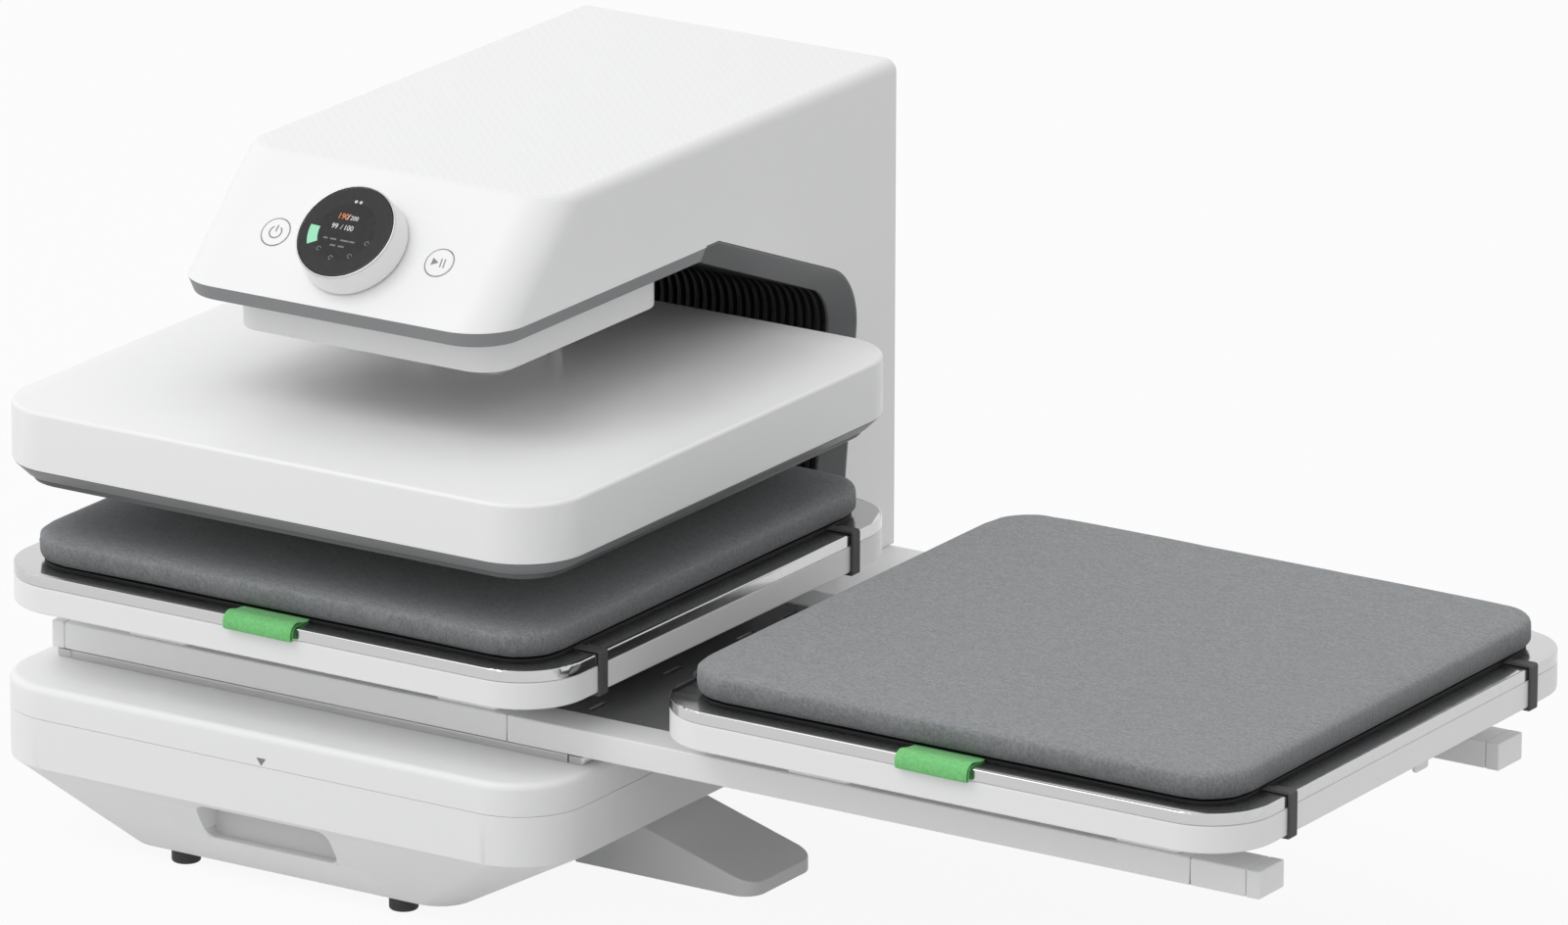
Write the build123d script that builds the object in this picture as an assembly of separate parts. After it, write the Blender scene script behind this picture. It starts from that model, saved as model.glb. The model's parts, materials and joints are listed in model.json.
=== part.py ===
from build123d import *
import math
import os

os.makedirs("parts", exist_ok=True)

# Dual station heat press. X runs along the shuttle, Y goes to the back, Z is up.
# The origin lies on the floor, straight below the middle of the heated platen.

# Stations: two square work plates that a shuttle carries
plate_width = 406.5
plate_depth = 404.0
plate_corner = 42.5
station_pitch = 476.5
pan_bottom = 151.4
pan_height = 17.0
pan_wall = 3.0
seam_gap = 0.3
deck_height = 7.1
deck_skirt = 4.0
deck_plate = 3.0
pad_size = 381.0
pad_corner = 33.0
pad_height = 19.0
pad_board_height = 1.2
pad_board_inset = 5.5
pad_crown = 8.0
pad_lip = 2.5
soft_gap = 0.3
tag_width = 50.0
strap_width = 8.5
strap_thickness = 1.8
strap_place = 139.5
strap_hook = 7.0

# Shuttle: two square beams with a tray between them
beam_width = 28.0
beam_height = 17.0
beam_wall = 2.5
beam_top = 129.4
beam_inner = 124.4
beam_overhang = 12.5
cap_length = 9.5
joint_place = 143.7
tray_thickness = 1.5
tray_flange = 10.0
tray_clearance = 0.3
tray_reach = 148.0
runner_reach = 136.0
slot_place = 178.7
slot_length = 18.0
foot_length = 44.0
foot_width = 24.0
foot_inset = 90.0
runner_width = 24.0
runner_drop = 12.0
tab_width = 15.0
tab_place = 37.0
tab_height = 14.0
tab_thickness = 3.0
tab_inset = 14.5

# Base: a cover over a hull whose underside tapers
base_width = 410.0
base_front = -207.0
base_corner = 45.0
base_top = 106.4
base_seam = 85.6
taper_top = 54.4
hull_bottom = 8.7
taper_side = 84.0
taper_end = 27.5
base_wall = 3.0
base_roll = 5.0
grip_width = 97.0
grip_top = 52.0
grip_bottom = 27.8
grip_depth = 24.0
grip_wall = 2.5
foot_radius = 9.0
middle_foot_radius = 14.0
foot_x = 80.0
foot_front = -169.0
foot_rear = 281.0
outrigger_reach = 250.0
outrigger_front = -46.0
outrigger_rear = 26.0
outrigger_tip = 10.0
outrigger_slope = 0.294
outrigger_corner = 14.0
sole_height = 1.5
fit_gap = 0.3

# Rails on the base, under the beams
rail_start = -177.5
rail_end = 186.0
rail_width = 24.0
slide_gap = 0.3
stop_length = 11.0
stop_height = 5.0
track_wall = 2.0
track_length = 380.0

# Arm and column: one C-shaped housing
arm_width = 237.6
arm_front = -129.2
arm_bottom = 352.8
arm_top = 421.4
panel_angle = 44.0
panel_corner = 33.7
column_back = 319.3
column_foot = 253.7
column_lean = 0.131
throat_start = 117.3
throat_slope = 0.3865
throat_round = 42.0
housing_wall = 3.0
top_round = 8.0
trim_drop = 9.5
trim_inset = 3.8
trim_width = 10.0
bezel_depth = 11.5
bezel_face = 14.0
bezel_lip = 1.0
bezel_back = 8.0
throat_front = 104.0
rear_cover_thickness = 3.0
rib_pitch = 6.4
rib_width = 2.6
rib_height = 4.5
ribbed_plate = 3.0
vent_count = 14
vent_pitch = 7.0
vent_width = 90.0
vent_slot = 3.0
vent_middle = 205.0

# Frame inside the housing
frame_place = 62.0
frame_clearance = 18.5
frame_plate = 8.0
frame_front = -60.0
frame_floor = 12.2
frame_inset = 95.0
frame_heel_front = 236.0
frame_heel_back = 284.0
floor_front = -165.0
floor_plate = 4.0
arm_bar_bottom = 362.0
arm_bar_top = 412.0
column_bar_back = 314.0
column_bar_front = 262.0

# Press head: collar, ram, rods, lead screw and their drive
collar_width = 194.0
collar_depth = 189.0
collar_bottom = 317.4
collar_corner = 22.0
collar_wall = 3.0
floor_thickness = 3.0
ram_width = 52.0
ram_depth = 58.0
ram_middle = 43.0
ram_wall = 4.0
ram_top = 372.0
ram_gap = 2.0
rod_radius = 6.0
rod_x = 20.0
rod_y = 84.0
rod_top = 409.0
bush_radius = 10.0
bush_height = 14.0
bore_gap = 0.2
screw_radius = 8.0
screw_bottom = 308.0
screw_top = 402.0
nut_radius = 14.0
nut_flange = 5.0
ram_plate = 12.0
bridge_bottom = 384.0
bridge_height = 6.0
bridge_reach = 32.0
pulley_radius = 26.0
motor_pulley_radius = 10.0
pulley_height = 9.0
pulley_flange = 0.8
belt_thickness = 1.4
belt_width = 7.0
belt_gap = 0.3
motor_place = -35.0
motor_radius = 21.0
motor_height = 34.0
motor_shaft = 4.0

# Heated platen
cover_bottom = 241.8
cover_top = 278.8
cover_wall = 3.0
cover_round = 2.5
rim_bottom = 233.0
rim_inset = 9.0
rim_width = 12.3
heater_bottom = 228.7
heater_thickness = 11.0
heater_inset = 12.8
heater_corner = 30.0
element_height = 6.0
element_width = 8.0
element_rows = 6
element_span = 300.0
element_half = 140.0
insulation_thickness = 8.0
insulation_inset = 16.0
bracket_bottom = 262.0
bracket_thickness = 6.0
bracket_size = 190.0
post_x = 75.0
post_y = 60.0
post_radius = 6.0

# Controls on the slanted panel
panel_middle_y = -97.5
dial_foot_radius = 34.0
dial_top_radius = 32.8
dial_height = 18.2
dial_gap = 1.2
dial_bore = 29.6
glass_radius = 31.2
glass_thickness = 2.4
glass_seat = 15.5
trim_ring_height = 1.2
display_radius = 29.0
display_back = 10.0
display_hole = 29.4
button_place = 59.6
button_radius = 9.7
button_gap = 0.3
button_proud = 0.2
button_stem = 3.0
button_back = 8.0
board_thickness = 1.6
board_drop = 11.5
board_width = 186.0
board_depth = 46.0
board_post_x = 86.0
board_post_y = 17.0
switch_gap = 1.2
flange_drop = 3.2

# Parts in the column and the base
fan_size = 80.0
fan_depth = 15.0
fan_middle = 205.0
fan_hub = 15.0
fan_blades = 7
fan_bore = 37.5
fan_blade_radius = 36.0
inlet_width = 62.0
inlet_tall = 30.0
inlet_drop = 65.0
inlet_depth = 22.0
inlet_flange = 1.5
socket_end = 8.0
rocker_place = 19.0
rocker_width = 15.0
rocker_length = 21.0
rocker_depth = 12.0
rocker_pivot = 3.0
rocker_tilt = 8.0
supply_height = 36.0
supply_width = 150.0
supply_front = -70.0
supply_back = 30.0
screw_head = 3.2
screw_head_height = 1.6
screw_bore = 1.6
screw_length = 9.0
screw_inset = 6.5
boss_length = 12.0

# Values that follow from the sizes above
base_back = column_back
base_length = base_back - base_front
base_middle = (base_front + base_back) / 2
foot_place = plate_width / 2 - foot_inset
inlet_height = fan_middle - inlet_drop
pan_top = pan_bottom + pan_height
deck_bottom = pan_top + seam_gap
deck_top = deck_bottom + deck_height
heater_top = heater_bottom + heater_thickness
pad_bottom = deck_top + pad_board_height + soft_gap
beam_bottom = beam_top - beam_height
beam_left = -plate_width / 2 + beam_overhang
beam_right = station_pitch + plate_width / 2 - beam_overhang
beam_middle = beam_inner + beam_width / 2
rail_top = beam_bottom - slide_gap
arm_half = arm_width / 2
station_places = (0.0, station_pitch)


def save(piece, name):
    """Write one node's solids to its own STEP file."""
    piece.label = name
    export_step(piece, "parts/" + name + ".step")


def slab(width, depth, corner, low, high, middle=(0.0, 0.0)):
    """A rounded rectangle raised from low to high."""
    outline = Pos(middle[0], middle[1], low) * RectangleRounded(width, depth, corner)
    return extrude(outline, high - low)


def block(x_range, y_range, z_range):
    """A box given by its limits on each axis."""
    size = [r[1] - r[0] for r in (x_range, y_range, z_range)]
    place = [(r[1] + r[0]) / 2 for r in (x_range, y_range, z_range)]
    return Pos(*place) * Box(*size)


def rod(x, y, low, high, radius):
    """An upright cylinder."""
    return Pos(x, y, (low + high) / 2) * Cylinder(radius, high - low)


def side_prism(points, left, right, rounds=None):
    """A side view outline of (y, z) points, carried along X from left to right."""
    plane = Plane(origin=(left, 0, 0), x_dir=(0, 1, 0), z_dir=(1, 0, 0))
    face = make_face(Polyline(*points, close=True))
    for index, radius in (rounds or {}).items():
        target = Vector(points[index][0], points[index][1], 0)
        near = face.vertices().sort_by_distance(target)[0]
        face = fillet(near, radius)
    return extrude(plane * face, right - left)


def group(pieces):
    """Separate solids that share one node."""
    return Compound(children=list(pieces))


# Throat outline: its slope, its back wall and the round between them
def throat_points(spread):
    """Side view of the throat, moved outwards by spread."""
    slope_angle = math.atan(throat_slope)
    lean_angle = math.atan(column_lean)
    lift = spread / math.cos(slope_angle)
    push = spread / math.cos(lean_angle)
    start_y = throat_start + spread * math.sin(slope_angle)
    start_z = arm_bottom + spread * math.cos(slope_angle)
    wall_y = column_foot + push
    top_z = arm_bottom + lift
    reach = top_z - base_top + throat_slope * throat_start
    corner_y = (wall_y + column_lean * reach) / (1 + column_lean * throat_slope)
    corner_z = top_z - throat_slope * (corner_y - throat_start)
    return [
        (throat_front, base_top),
        (wall_y, base_top),
        (corner_y, corner_z),
        (start_y, start_z),
        (throat_front, start_z),
    ]


def throat_prism(spread, left, right):
    """The throat as a solid across part of the width."""
    return side_prism(throat_points(spread), left, right, {2: throat_round + spread})


def throat_face(spread, place):
    """The throat outline as a face that stands at one place along X."""
    plane = Plane(origin=(place, 0, 0), x_dir=(0, 1, 0), z_dir=(1, 0, 0))
    points = throat_points(spread)
    face = make_face(Polyline(*points, close=True))
    corner = face.vertices().sort_by_distance(Vector(*points[2], 0))[0]
    return plane * fillet(corner, throat_round + spread)


def throat_flare(spread):
    """The throat's narrowing from the housing's side inwards, as a funnel."""
    narrow = throat_face(spread - bezel_face, arm_half - bezel_depth)
    return loft([throat_face(spread, arm_half + 0.01), narrow])


def make_station_pan(place):
    """White pan of a station, open at the top, with cross ribs and a tab on its outer side."""
    outer = slab(plate_width, plate_depth, plate_corner, pan_bottom, pan_top, (place, 0))
    hollow = slab(
        plate_width - 2 * pan_wall,
        plate_depth - 2 * pan_wall,
        plate_corner - pan_wall,
        pan_bottom + pan_wall,
        pan_top + 1,
        (place, 0),
    )
    pan = outer - hollow
    rib_top = pan_top - deck_skirt
    for offset in (-foot_place, 0.0, foot_place):
        x_range = (place + offset - 1.5, place + offset + 1.5)
        y_half = plate_depth / 2 - pan_wall
        pan += block(x_range, (-y_half, y_half), (pan_bottom, rib_top))
    side = 1 if place > 0 else -1
    edge = place + side * (plate_width / 2 - tab_inset)
    x_range = sorted((edge, edge - side * tab_thickness))
    y_range = (tab_place - tab_width / 2, tab_place + tab_width / 2)
    tab = block(x_range, y_range, (pan_bottom - tab_height, pan_bottom + 1.0))
    return pan + fillet(tab.edges().filter_by(Axis.X).group_by(Axis.Z)[0], 2.0)


def make_station_deck(place):
    """Aluminium deck: a plate with a skirt that shows as a band round the pan."""
    deck = slab(plate_width, plate_depth, plate_corner, deck_bottom, deck_top, (place, 0))
    edge = deck.edges().group_by(Axis.Z)[-1]
    deck = fillet(edge, 1.0)
    deck -= slab(
        plate_width - 2 * deck_skirt,
        plate_depth - 2 * deck_skirt,
        plate_corner - deck_skirt,
        deck_bottom - 1,
        deck_top - deck_plate,
        (place, 0),
    )
    return deck


def make_pad_board(place):
    """Thin black board under a pad."""
    size = pad_size - 2 * pad_board_inset
    corner = pad_corner - pad_board_inset
    top = deck_top + pad_board_height
    return slab(size, size, corner, deck_top, top, (place, 0))


def make_pad(place):
    """Soft pad with a crowned upper edge."""
    pad_top = pad_bottom + pad_height
    pad = slab(pad_size, pad_size, pad_corner, pad_bottom, pad_top, (place, 0))
    pad = fillet(pad.edges().group_by(Axis.Z)[-1], pad_crown)
    return fillet(pad.edges().group_by(Axis.Z)[0], pad_lip)


def make_tag(place):
    """Folded cloth tag that comes out under the front of a pad."""
    edge = -plate_depth / 2
    low = deck_top + soft_gap
    points = [
        (-pad_size / 2 + pad_board_inset - 1.0, low),
        (-pad_size / 2 + pad_board_inset - 1.0, low + 0.8),
        (edge + 9.0, low + 0.8),
        (edge + 3.0, low + 3.6),
        (edge - 5.4, low - 3.2),
        (edge - 4.6, low - 8.6),
        (edge - 1.2, low - 8.6),
        (edge - 0.6, low),
    ]
    return side_prism(points, place - tag_width / 2, place + tag_width / 2)


def make_strap(place, side, along):
    """Flat strap from under the pad, over the deck and the pan, to a hook below."""
    edge = plate_width / 2 + soft_gap
    inner = (
        (pad_size / 2 - pad_board_inset + 0.8, deck_top + soft_gap),
        (edge, deck_top + soft_gap),
        (edge, pan_bottom - soft_gap),
        (edge - strap_hook, pan_bottom - soft_gap),
    )
    outer = (
        (edge - strap_hook, pan_bottom - soft_gap - strap_thickness),
        (edge + strap_thickness, pan_bottom - soft_gap - strap_thickness),
        (edge + strap_thickness, deck_top + soft_gap + strap_thickness),
        (pad_size / 2 + 1.2, deck_top + soft_gap + strap_thickness),
        (pad_size / 2 - 0.6, deck_top + soft_gap + 0.8),
        (pad_size / 2 - pad_board_inset + 0.8, deck_top + soft_gap + 0.8),
    )
    face = make_face(Polyline(*inner, *outer, close=True))
    for corner, radius in ((outer[1], 1.6), (outer[2], 2.0)):
        near = face.vertices().sort_by_distance(Vector(*corner, 0))[0]
        face = fillet(near, radius)
    plane = Plane(origin=(0, along + strap_width / 2, 0), x_dir=(1, 0, 0), z_dir=(0, -1, 0))
    strap = extrude(plane * face, strap_width)
    if side < 0:
        strap = mirror(strap, about=Plane.YZ)
    return Pos(place, 0, 0) * strap


def make_station_feet(place):
    """Blocks that hold a station on the beams."""
    feet = []
    for x_side in (-1, 1):
        for y_side in (-1, 1):
            x_middle = place + x_side * foot_place
            y_middle = y_side * beam_middle
            feet.append(
                slab(foot_length, foot_width, 3.0, beam_top, pan_bottom, (x_middle, y_middle))
            )
    return feet


def make_straps(place):
    """The four straps of one station."""
    straps = []
    for side in (-1, 1):
        for along in (-strap_place, strap_place):
            straps.append(make_strap(place, side, along))
    return straps


for letter, place in zip("ab", station_places):
    save(make_station_pan(place), "station_pan_" + letter)
    save(make_station_deck(place), "station_deck_" + letter)
    save(make_pad(place), "pad_" + letter)
save(group(make_pad_board(place) for place in station_places), "pad_boards")
save(group(make_tag(place) for place in station_places), "pad_tags")
save(group(strap for place in station_places for strap in make_straps(place)), "pad_straps")
save(group(foot for place in station_places for foot in make_station_feet(place)), "station_feet")


def make_beam_bar(side):
    """Steel bar inside a beam's sleeves."""
    half_y = beam_width / 2 - beam_wall - slide_gap
    half_z = beam_height / 2 - beam_wall - slide_gap
    middle_z = (beam_top + beam_bottom) / 2
    x_range = (beam_left + cap_length, beam_right - cap_length)
    y_middle = side * beam_middle
    return block(
        x_range, (y_middle - half_y, y_middle + half_y), (middle_z - half_z, middle_z + half_z)
    )


def make_beam_sleeves(side):
    """Three square sleeves end to end over a beam's bar."""
    y_middle = side * beam_middle
    middle_z = (beam_top + beam_bottom) / 2
    stops = (
        beam_left + cap_length,
        joint_place,
        station_pitch + joint_place,
        beam_right - cap_length,
    )
    sleeves = []
    for start, end in zip(stops[:-1], stops[1:]):
        length = end - start - seam_gap
        middle = (start + end) / 2
        plane = Plane(origin=(middle - length / 2, y_middle, middle_z), x_dir=(0, 1, 0), z_dir=(1, 0, 0))
        section = RectangleRounded(beam_width, beam_height, 1.2)
        section -= Rectangle(beam_width - 2 * beam_wall, beam_height - 2 * beam_wall)
        sleeves.append(extrude(plane * section, length))
    return sleeves


def make_beam_caps():
    """Moulded caps that close the four beam ends."""
    caps = []
    middle_z = (beam_top + beam_bottom) / 2
    for side in (-1, 1):
        for start in (beam_left, beam_right - cap_length):
            cap = Pos(start + cap_length / 2, side * beam_middle, middle_z) * Box(
                cap_length - seam_gap, beam_width, beam_height
            )
            caps.append(fillet(cap.edges(), 0.9))
    return group(caps)


def make_tray():
    """Dark tray between the beams, with flanges down its long sides and slots."""
    half = beam_inner - tray_clearance
    top = beam_top - 1.0
    x_range = (-tray_reach, station_pitch + tray_reach)
    tray = block(x_range, (-half, half), (top - tray_thickness, top))
    for side in (-1, 1):
        inner = side * (half - tray_thickness)
        y_range = sorted((inner, side * half))
        tray += block(x_range, y_range, (top - tray_flange, top))
    for place in (slot_place, station_pitch - slot_place):
        for y_middle in (-105.0, -24.0, 57.0, 105.0):
            y_range = (y_middle - slot_length / 2, y_middle + slot_length / 2)
            tray -= block((place - 2.0, place + 2.0), y_range, (top - 5, top + 1))
    return tray


def make_runner():
    """Keyed bar under the tray that follows the track on the base."""
    top = beam_top - 1.0 - tray_thickness
    half = runner_width / 2
    x_range = (-runner_reach, station_pitch + runner_reach)
    runner = block(x_range, (-half, half), (top - runner_drop, top))
    return chamfer(runner.edges().filter_by(Axis.X).group_by(Axis.Z)[0], 1.5)


save(group([make_beam_bar(-1), make_beam_bar(1)]), "beam_bars")
save(group(make_beam_sleeves(-1) + make_beam_sleeves(1)), "beam_sleeves")
save(make_beam_caps(), "beam_end_caps")
save(make_tray(), "shuttle_tray")
save(make_runner(), "tray_runner")


def hull_body(inset):
    """The base's lower body, moved inwards by inset."""
    width = base_width - 2 * inset
    length = base_length - 2 * inset
    corner = base_corner - inset
    low = hull_bottom + inset
    upper = slab(width, length, corner, taper_top, base_seam + inset, (0, base_middle))
    section_top = Pos(0, base_middle, taper_top) * RectangleRounded(width, length, corner)
    section_low = Pos(0, base_middle, low) * RectangleRounded(
        width - 2 * taper_side, length - 2 * taper_end, corner - 22.0
    )
    return upper + loft([section_low, section_top])


def make_hull():
    """Hull with a hollow inside and a hand grip in its sloping front."""
    outer = hull_body(0.0)
    hull = outer - hull_body(base_wall)
    half = grip_width / 2
    back = base_front + grip_depth
    pocket = block((-half, half), (base_front - 5, back), (grip_bottom, grip_top))
    pocket = fillet(pocket.edges().filter_by(Axis.Y), 7.0)
    holder = block(
        (-half - grip_wall, half + grip_wall),
        (base_front - 5, back + grip_wall),
        (grip_bottom - grip_wall, grip_top + grip_wall),
    )
    holder = fillet(holder.edges().filter_by(Axis.Y), 7.0 + grip_wall)
    return hull + (holder & outer) - pocket


def make_cover():
    """Top cover of the base, with a rolled edge and an opening for the column's frame."""
    low = base_seam + seam_gap
    cover = slab(base_width, base_length, base_corner, low, base_top, (0, base_middle))
    cover = fillet(cover.edges().group_by(Axis.Z)[-1], base_roll)
    cover -= slab(
        base_width - 2 * base_wall,
        base_length - 2 * base_wall,
        base_corner - base_wall,
        low - 1,
        base_top - base_wall,
        (0, base_middle),
    )
    opening = (column_bar_front - 2.0, column_bar_back + 1.0)
    return cover - block((-arm_half + 12.0, arm_half - 12.0), opening, (base_top - 10, base_top + 5))


def make_base_feet():
    """Rubber feet: a plain one in the middle, and four with a washer recess below."""
    middle = rod(0, 0, 0, hull_bottom, middle_foot_radius)
    feet = [fillet(middle.edges().group_by(Axis.Z)[0], 1.5)]
    for x_side in (-1, 1):
        for y_place in (foot_front, foot_rear):
            foot = rod(x_side * foot_x, y_place, 0, hull_bottom, foot_radius)
            foot = fillet(foot.edges().group_by(Axis.Z)[0], 1.5)
            foot -= rod(x_side * foot_x, y_place, -1, 3.0, 3.5)
            feet.append(foot)
    return feet


def hull_side(height, gap):
    """X of the hull's sloping side at one height, a gap away from it."""
    share = (height - hull_bottom) / (taper_top - hull_bottom)
    return base_width / 2 - taper_side * (1 - share) + gap


def make_outrigger(side):
    """Ramp-shaped side foot that meets the hull's slope."""
    rise = (taper_top - hull_bottom) / taper_side
    gap = fit_gap / math.sin(math.atan(rise))
    top_y = outrigger_tip
    meet_x = (
        top_y + outrigger_slope * outrigger_reach - taper_top + rise * (base_width / 2 + gap)
    ) / (rise + outrigger_slope)
    meet_z = top_y + outrigger_slope * (outrigger_reach - meet_x)
    heel_x = hull_side(hull_bottom, gap)
    points = [
        (heel_x, sole_height),
        (heel_x, hull_bottom),
        (meet_x, meet_z),
        (outrigger_reach, outrigger_tip),
        (outrigger_reach, sole_height),
    ]
    plane = Plane(origin=(0, outrigger_rear, 0), x_dir=(1, 0, 0), z_dir=(0, -1, 0))
    body = extrude(plane * make_face(Polyline(*points, close=True)), outrigger_rear - outrigger_front)
    tip = [e for e in body.edges().filter_by(Axis.Z) if e.center().X > outrigger_reach - 1]
    body = fillet(tip, outrigger_corner)
    if side < 0:
        body = mirror(body, about=Plane.YZ)
    return body


def make_soles():
    """Rubber soles under the two side feet."""
    soles = []
    start = base_width / 2 - taper_side + 8.0
    length = outrigger_reach - start - 6.0
    width = outrigger_rear - outrigger_front - 12.0
    middle_y = (outrigger_rear + outrigger_front) / 2
    for side in (-1, 1):
        middle_x = side * (start + length / 2)
        soles.append(slab(length, width, 8.0, 0, sole_height, (middle_x, middle_y)))
    return soles


def make_rail(side):
    """Guide rail on the base under a beam."""
    y_range = (side * beam_middle - rail_width / 2, side * beam_middle + rail_width / 2)
    rail = block((rail_start, rail_end), y_range, (base_top, rail_top))
    return chamfer(rail.edges().filter_by(Axis.X).group_by(Axis.Z)[-1], 1.0)


def make_rail_stops():
    """Small stop brackets at both ends of the two rails."""
    stops = []
    for side in (-1, 1):
        for start in (rail_start - stop_length, rail_end):
            stop = block(
                (start, start + stop_length),
                (side * beam_middle - rail_width / 2, side * beam_middle + rail_width / 2),
                (base_top, base_top + stop_height),
            )
            stops.append(fillet(stop.edges().filter_by(Axis.Z), 2.0))
    return stops


def make_track():
    """Channel on the base that keeps the tray's runner straight."""
    half = runner_width / 2 + slide_gap
    top = beam_top - tray_thickness - 4.0
    low = beam_top - 1.0 - tray_thickness - runner_drop - slide_gap
    outside = half + track_wall
    channel = block((-track_length / 2, track_length / 2), (-outside, outside), (base_top, top))
    return channel - block((-track_length, track_length), (-half, half), (low, top + 1))


save(make_hull(), "base_hull")
save(make_cover(), "base_cover")
save(group(make_base_feet() + make_soles()), "rubber_feet")
save(make_outrigger(1), "outrigger_right")
save(make_outrigger(-1), "outrigger_left")
save(group([make_rail(-1), make_rail(1)] + make_rail_stops()), "guide_rails")
save(make_track(), "centre_track")

# Slanted panel: its middle line and its plane, facing forwards and up
panel_turn = math.radians(panel_angle)
panel_middle_z = arm_bottom + (panel_middle_y - arm_front) * math.tan(panel_turn)
panel = Plane(
    origin=(0, panel_middle_y, panel_middle_z),
    x_dir=(1, 0, 0),
    z_dir=(0, -math.sin(panel_turn), math.cos(panel_turn)),
)


def arm_section(inset, height):
    """The arm's outline at one height, moved inwards by inset."""
    length = 300.0
    front = arm_front + inset / math.sin(panel_turn) + (height - arm_bottom) / math.tan(panel_turn)
    outline = RectangleRounded(2 * (arm_half - inset), length, panel_corner - inset)
    return Pos(0, front + length / 2, height) * outline


def housing_body(inset):
    """The C-shaped housing's arm and column, moved inwards by inset."""
    half = arm_half - inset
    top = arm_top - inset
    reach = 20.0 if inset > 0 else 0.0
    arm = loft([arm_section(inset, arm_bottom - reach), arm_section(inset, top)])
    split = throat_front - 4.0
    arm &= block((-arm_half, arm_half), (arm_front - 60, split), (arm_bottom - 60, arm_top))
    low = base_top + fit_gap - reach
    lead = split if inset > 0 else throat_front + 6.0
    points = [
        (split, arm_bottom - reach),
        (split, top),
        (column_back + reach, top),
        (column_back + reach, low),
        (lead, low),
        (lead, arm_bottom - reach),
    ]
    if inset > 0:
        points = points[:3] + [(column_back + reach, low), (split, low)]
    return arm + side_prism(points, -half, half)


def soften_top(body, radius, height):
    """Round the edges of the housing's top face, apart from the back one."""
    edges = []
    for edge in body.edges():
        on_top = abs(edge.center().Z - height) < 0.01
        if on_top and edge.center().Y < column_back - 1:
            edges.append(edge)
    return fillet(edges, radius)


def rear_screw_places():
    """Places of the screws that hold the rear cover, as (x, z)."""
    side = arm_half - housing_wall - screw_inset
    low = base_top + screw_inset + 4.0
    high = arm_top - housing_wall - screw_inset
    step = (high - low) / 3
    return [(x, low + i * step) for x in (-side, side) for i in range(4)]


def make_housing():
    """White C-shaped housing: side walls, top and slanted panel in one shell."""
    outer = soften_top(housing_body(0.0), top_round, arm_top)
    outer -= throat_prism(bezel_lip + 0.1, -arm_half - 1, arm_half + 1)
    hollow = soften_top(housing_body(housing_wall), top_round - housing_wall, arm_top - housing_wall)
    shell = outer - hollow
    deep = 12.0
    shell -= panel * Cylinder(display_hole, deep)
    for side in (-1, 1):
        shell -= panel * Pos(side * button_place, 0, 0) * Cylinder(button_radius + button_gap, deep)
    boss_back = column_back - rear_cover_thickness - fit_gap
    for x, z in rear_screw_places():
        wall = math.copysign(arm_half - housing_wall / 2, x)
        x_range = sorted((x - math.copysign(screw_inset - 0.5, x), wall))
        boss = block(x_range, (boss_back - boss_length, boss_back), (z - 4.0, z + 4.0))
        boss -= Pos(x, boss_back - 4.0, z) * Rot(90, 0, 0) * Cylinder(screw_bore, 10.0)
        shell += boss
    return shell


def make_trim():
    """Dark tapered band below the arm's lower edge."""
    top = arm_bottom - 0.1
    low = arm_bottom - trim_drop
    length = 300.0
    outlines = []
    for height, inset in ((low, trim_inset), (top, 0.1)):
        outline = RectangleRounded(arm_width - 2 * inset, length, panel_corner - inset)
        outlines.append(Pos(0, arm_front + inset + length / 2, height) * outline)
    band = loft(outlines)
    inner = RectangleRounded(arm_width - 2 * trim_width, length, panel_corner - trim_width)
    band -= extrude(Pos(0, arm_front + trim_width + length / 2, low - 1) * inner, trim_drop + 2)
    return band & block((-arm_half, arm_half), (arm_front - 1, throat_front - fit_gap), (low - 1, top + 1))


def open_for_ram(piece, gap, low, high):
    """Cut the openings that the ram and the two rods pass through."""
    middle = (0, ram_middle)
    piece -= slab(ram_width + 2 * gap, ram_depth + 2 * gap, 5.0 + gap, low, high, middle)
    for side in (-1, 1):
        piece -= rod(side * rod_x, rod_y, low, high, rod_radius + gap)
    return piece


floor_bottom = arm_bottom - trim_drop + 1.5
floor_top = floor_bottom + floor_thickness


def make_arm_floor():
    """Plate that closes the arm below, with openings for the ram and the rods."""
    inset = trim_width + fit_gap
    length = 300.0
    outline = RectangleRounded(arm_width - 2 * inset, length, panel_corner - inset)
    plate = extrude(Pos(0, arm_front + inset + length / 2, floor_bottom) * outline, floor_thickness)
    back = throat_front - ribbed_plate - fit_gap
    plate &= block((-arm_half, arm_half), (arm_front, back), (floor_bottom - 1, floor_top + 1))
    return open_for_ram(plate, ram_gap, floor_bottom - 1, floor_top + 1)


def make_bezel(side):
    """Dark funnel-shaped frame that lines one edge of the throat."""
    inner_x = arm_half - bezel_depth
    start = inner_x - 2.0
    back = throat_face(bezel_back - bezel_face, inner_x)
    ring = loft([throat_face(bezel_lip, arm_half - 0.1), back])
    ring += throat_prism(bezel_back - bezel_face, start, inner_x + 0.01)
    ring -= throat_flare(0.0)
    ring -= throat_prism(-bezel_face, start - 1, inner_x + 0.01)
    if side < 0:
        ring = mirror(ring, about=Plane.YZ)
    return ring


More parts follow.
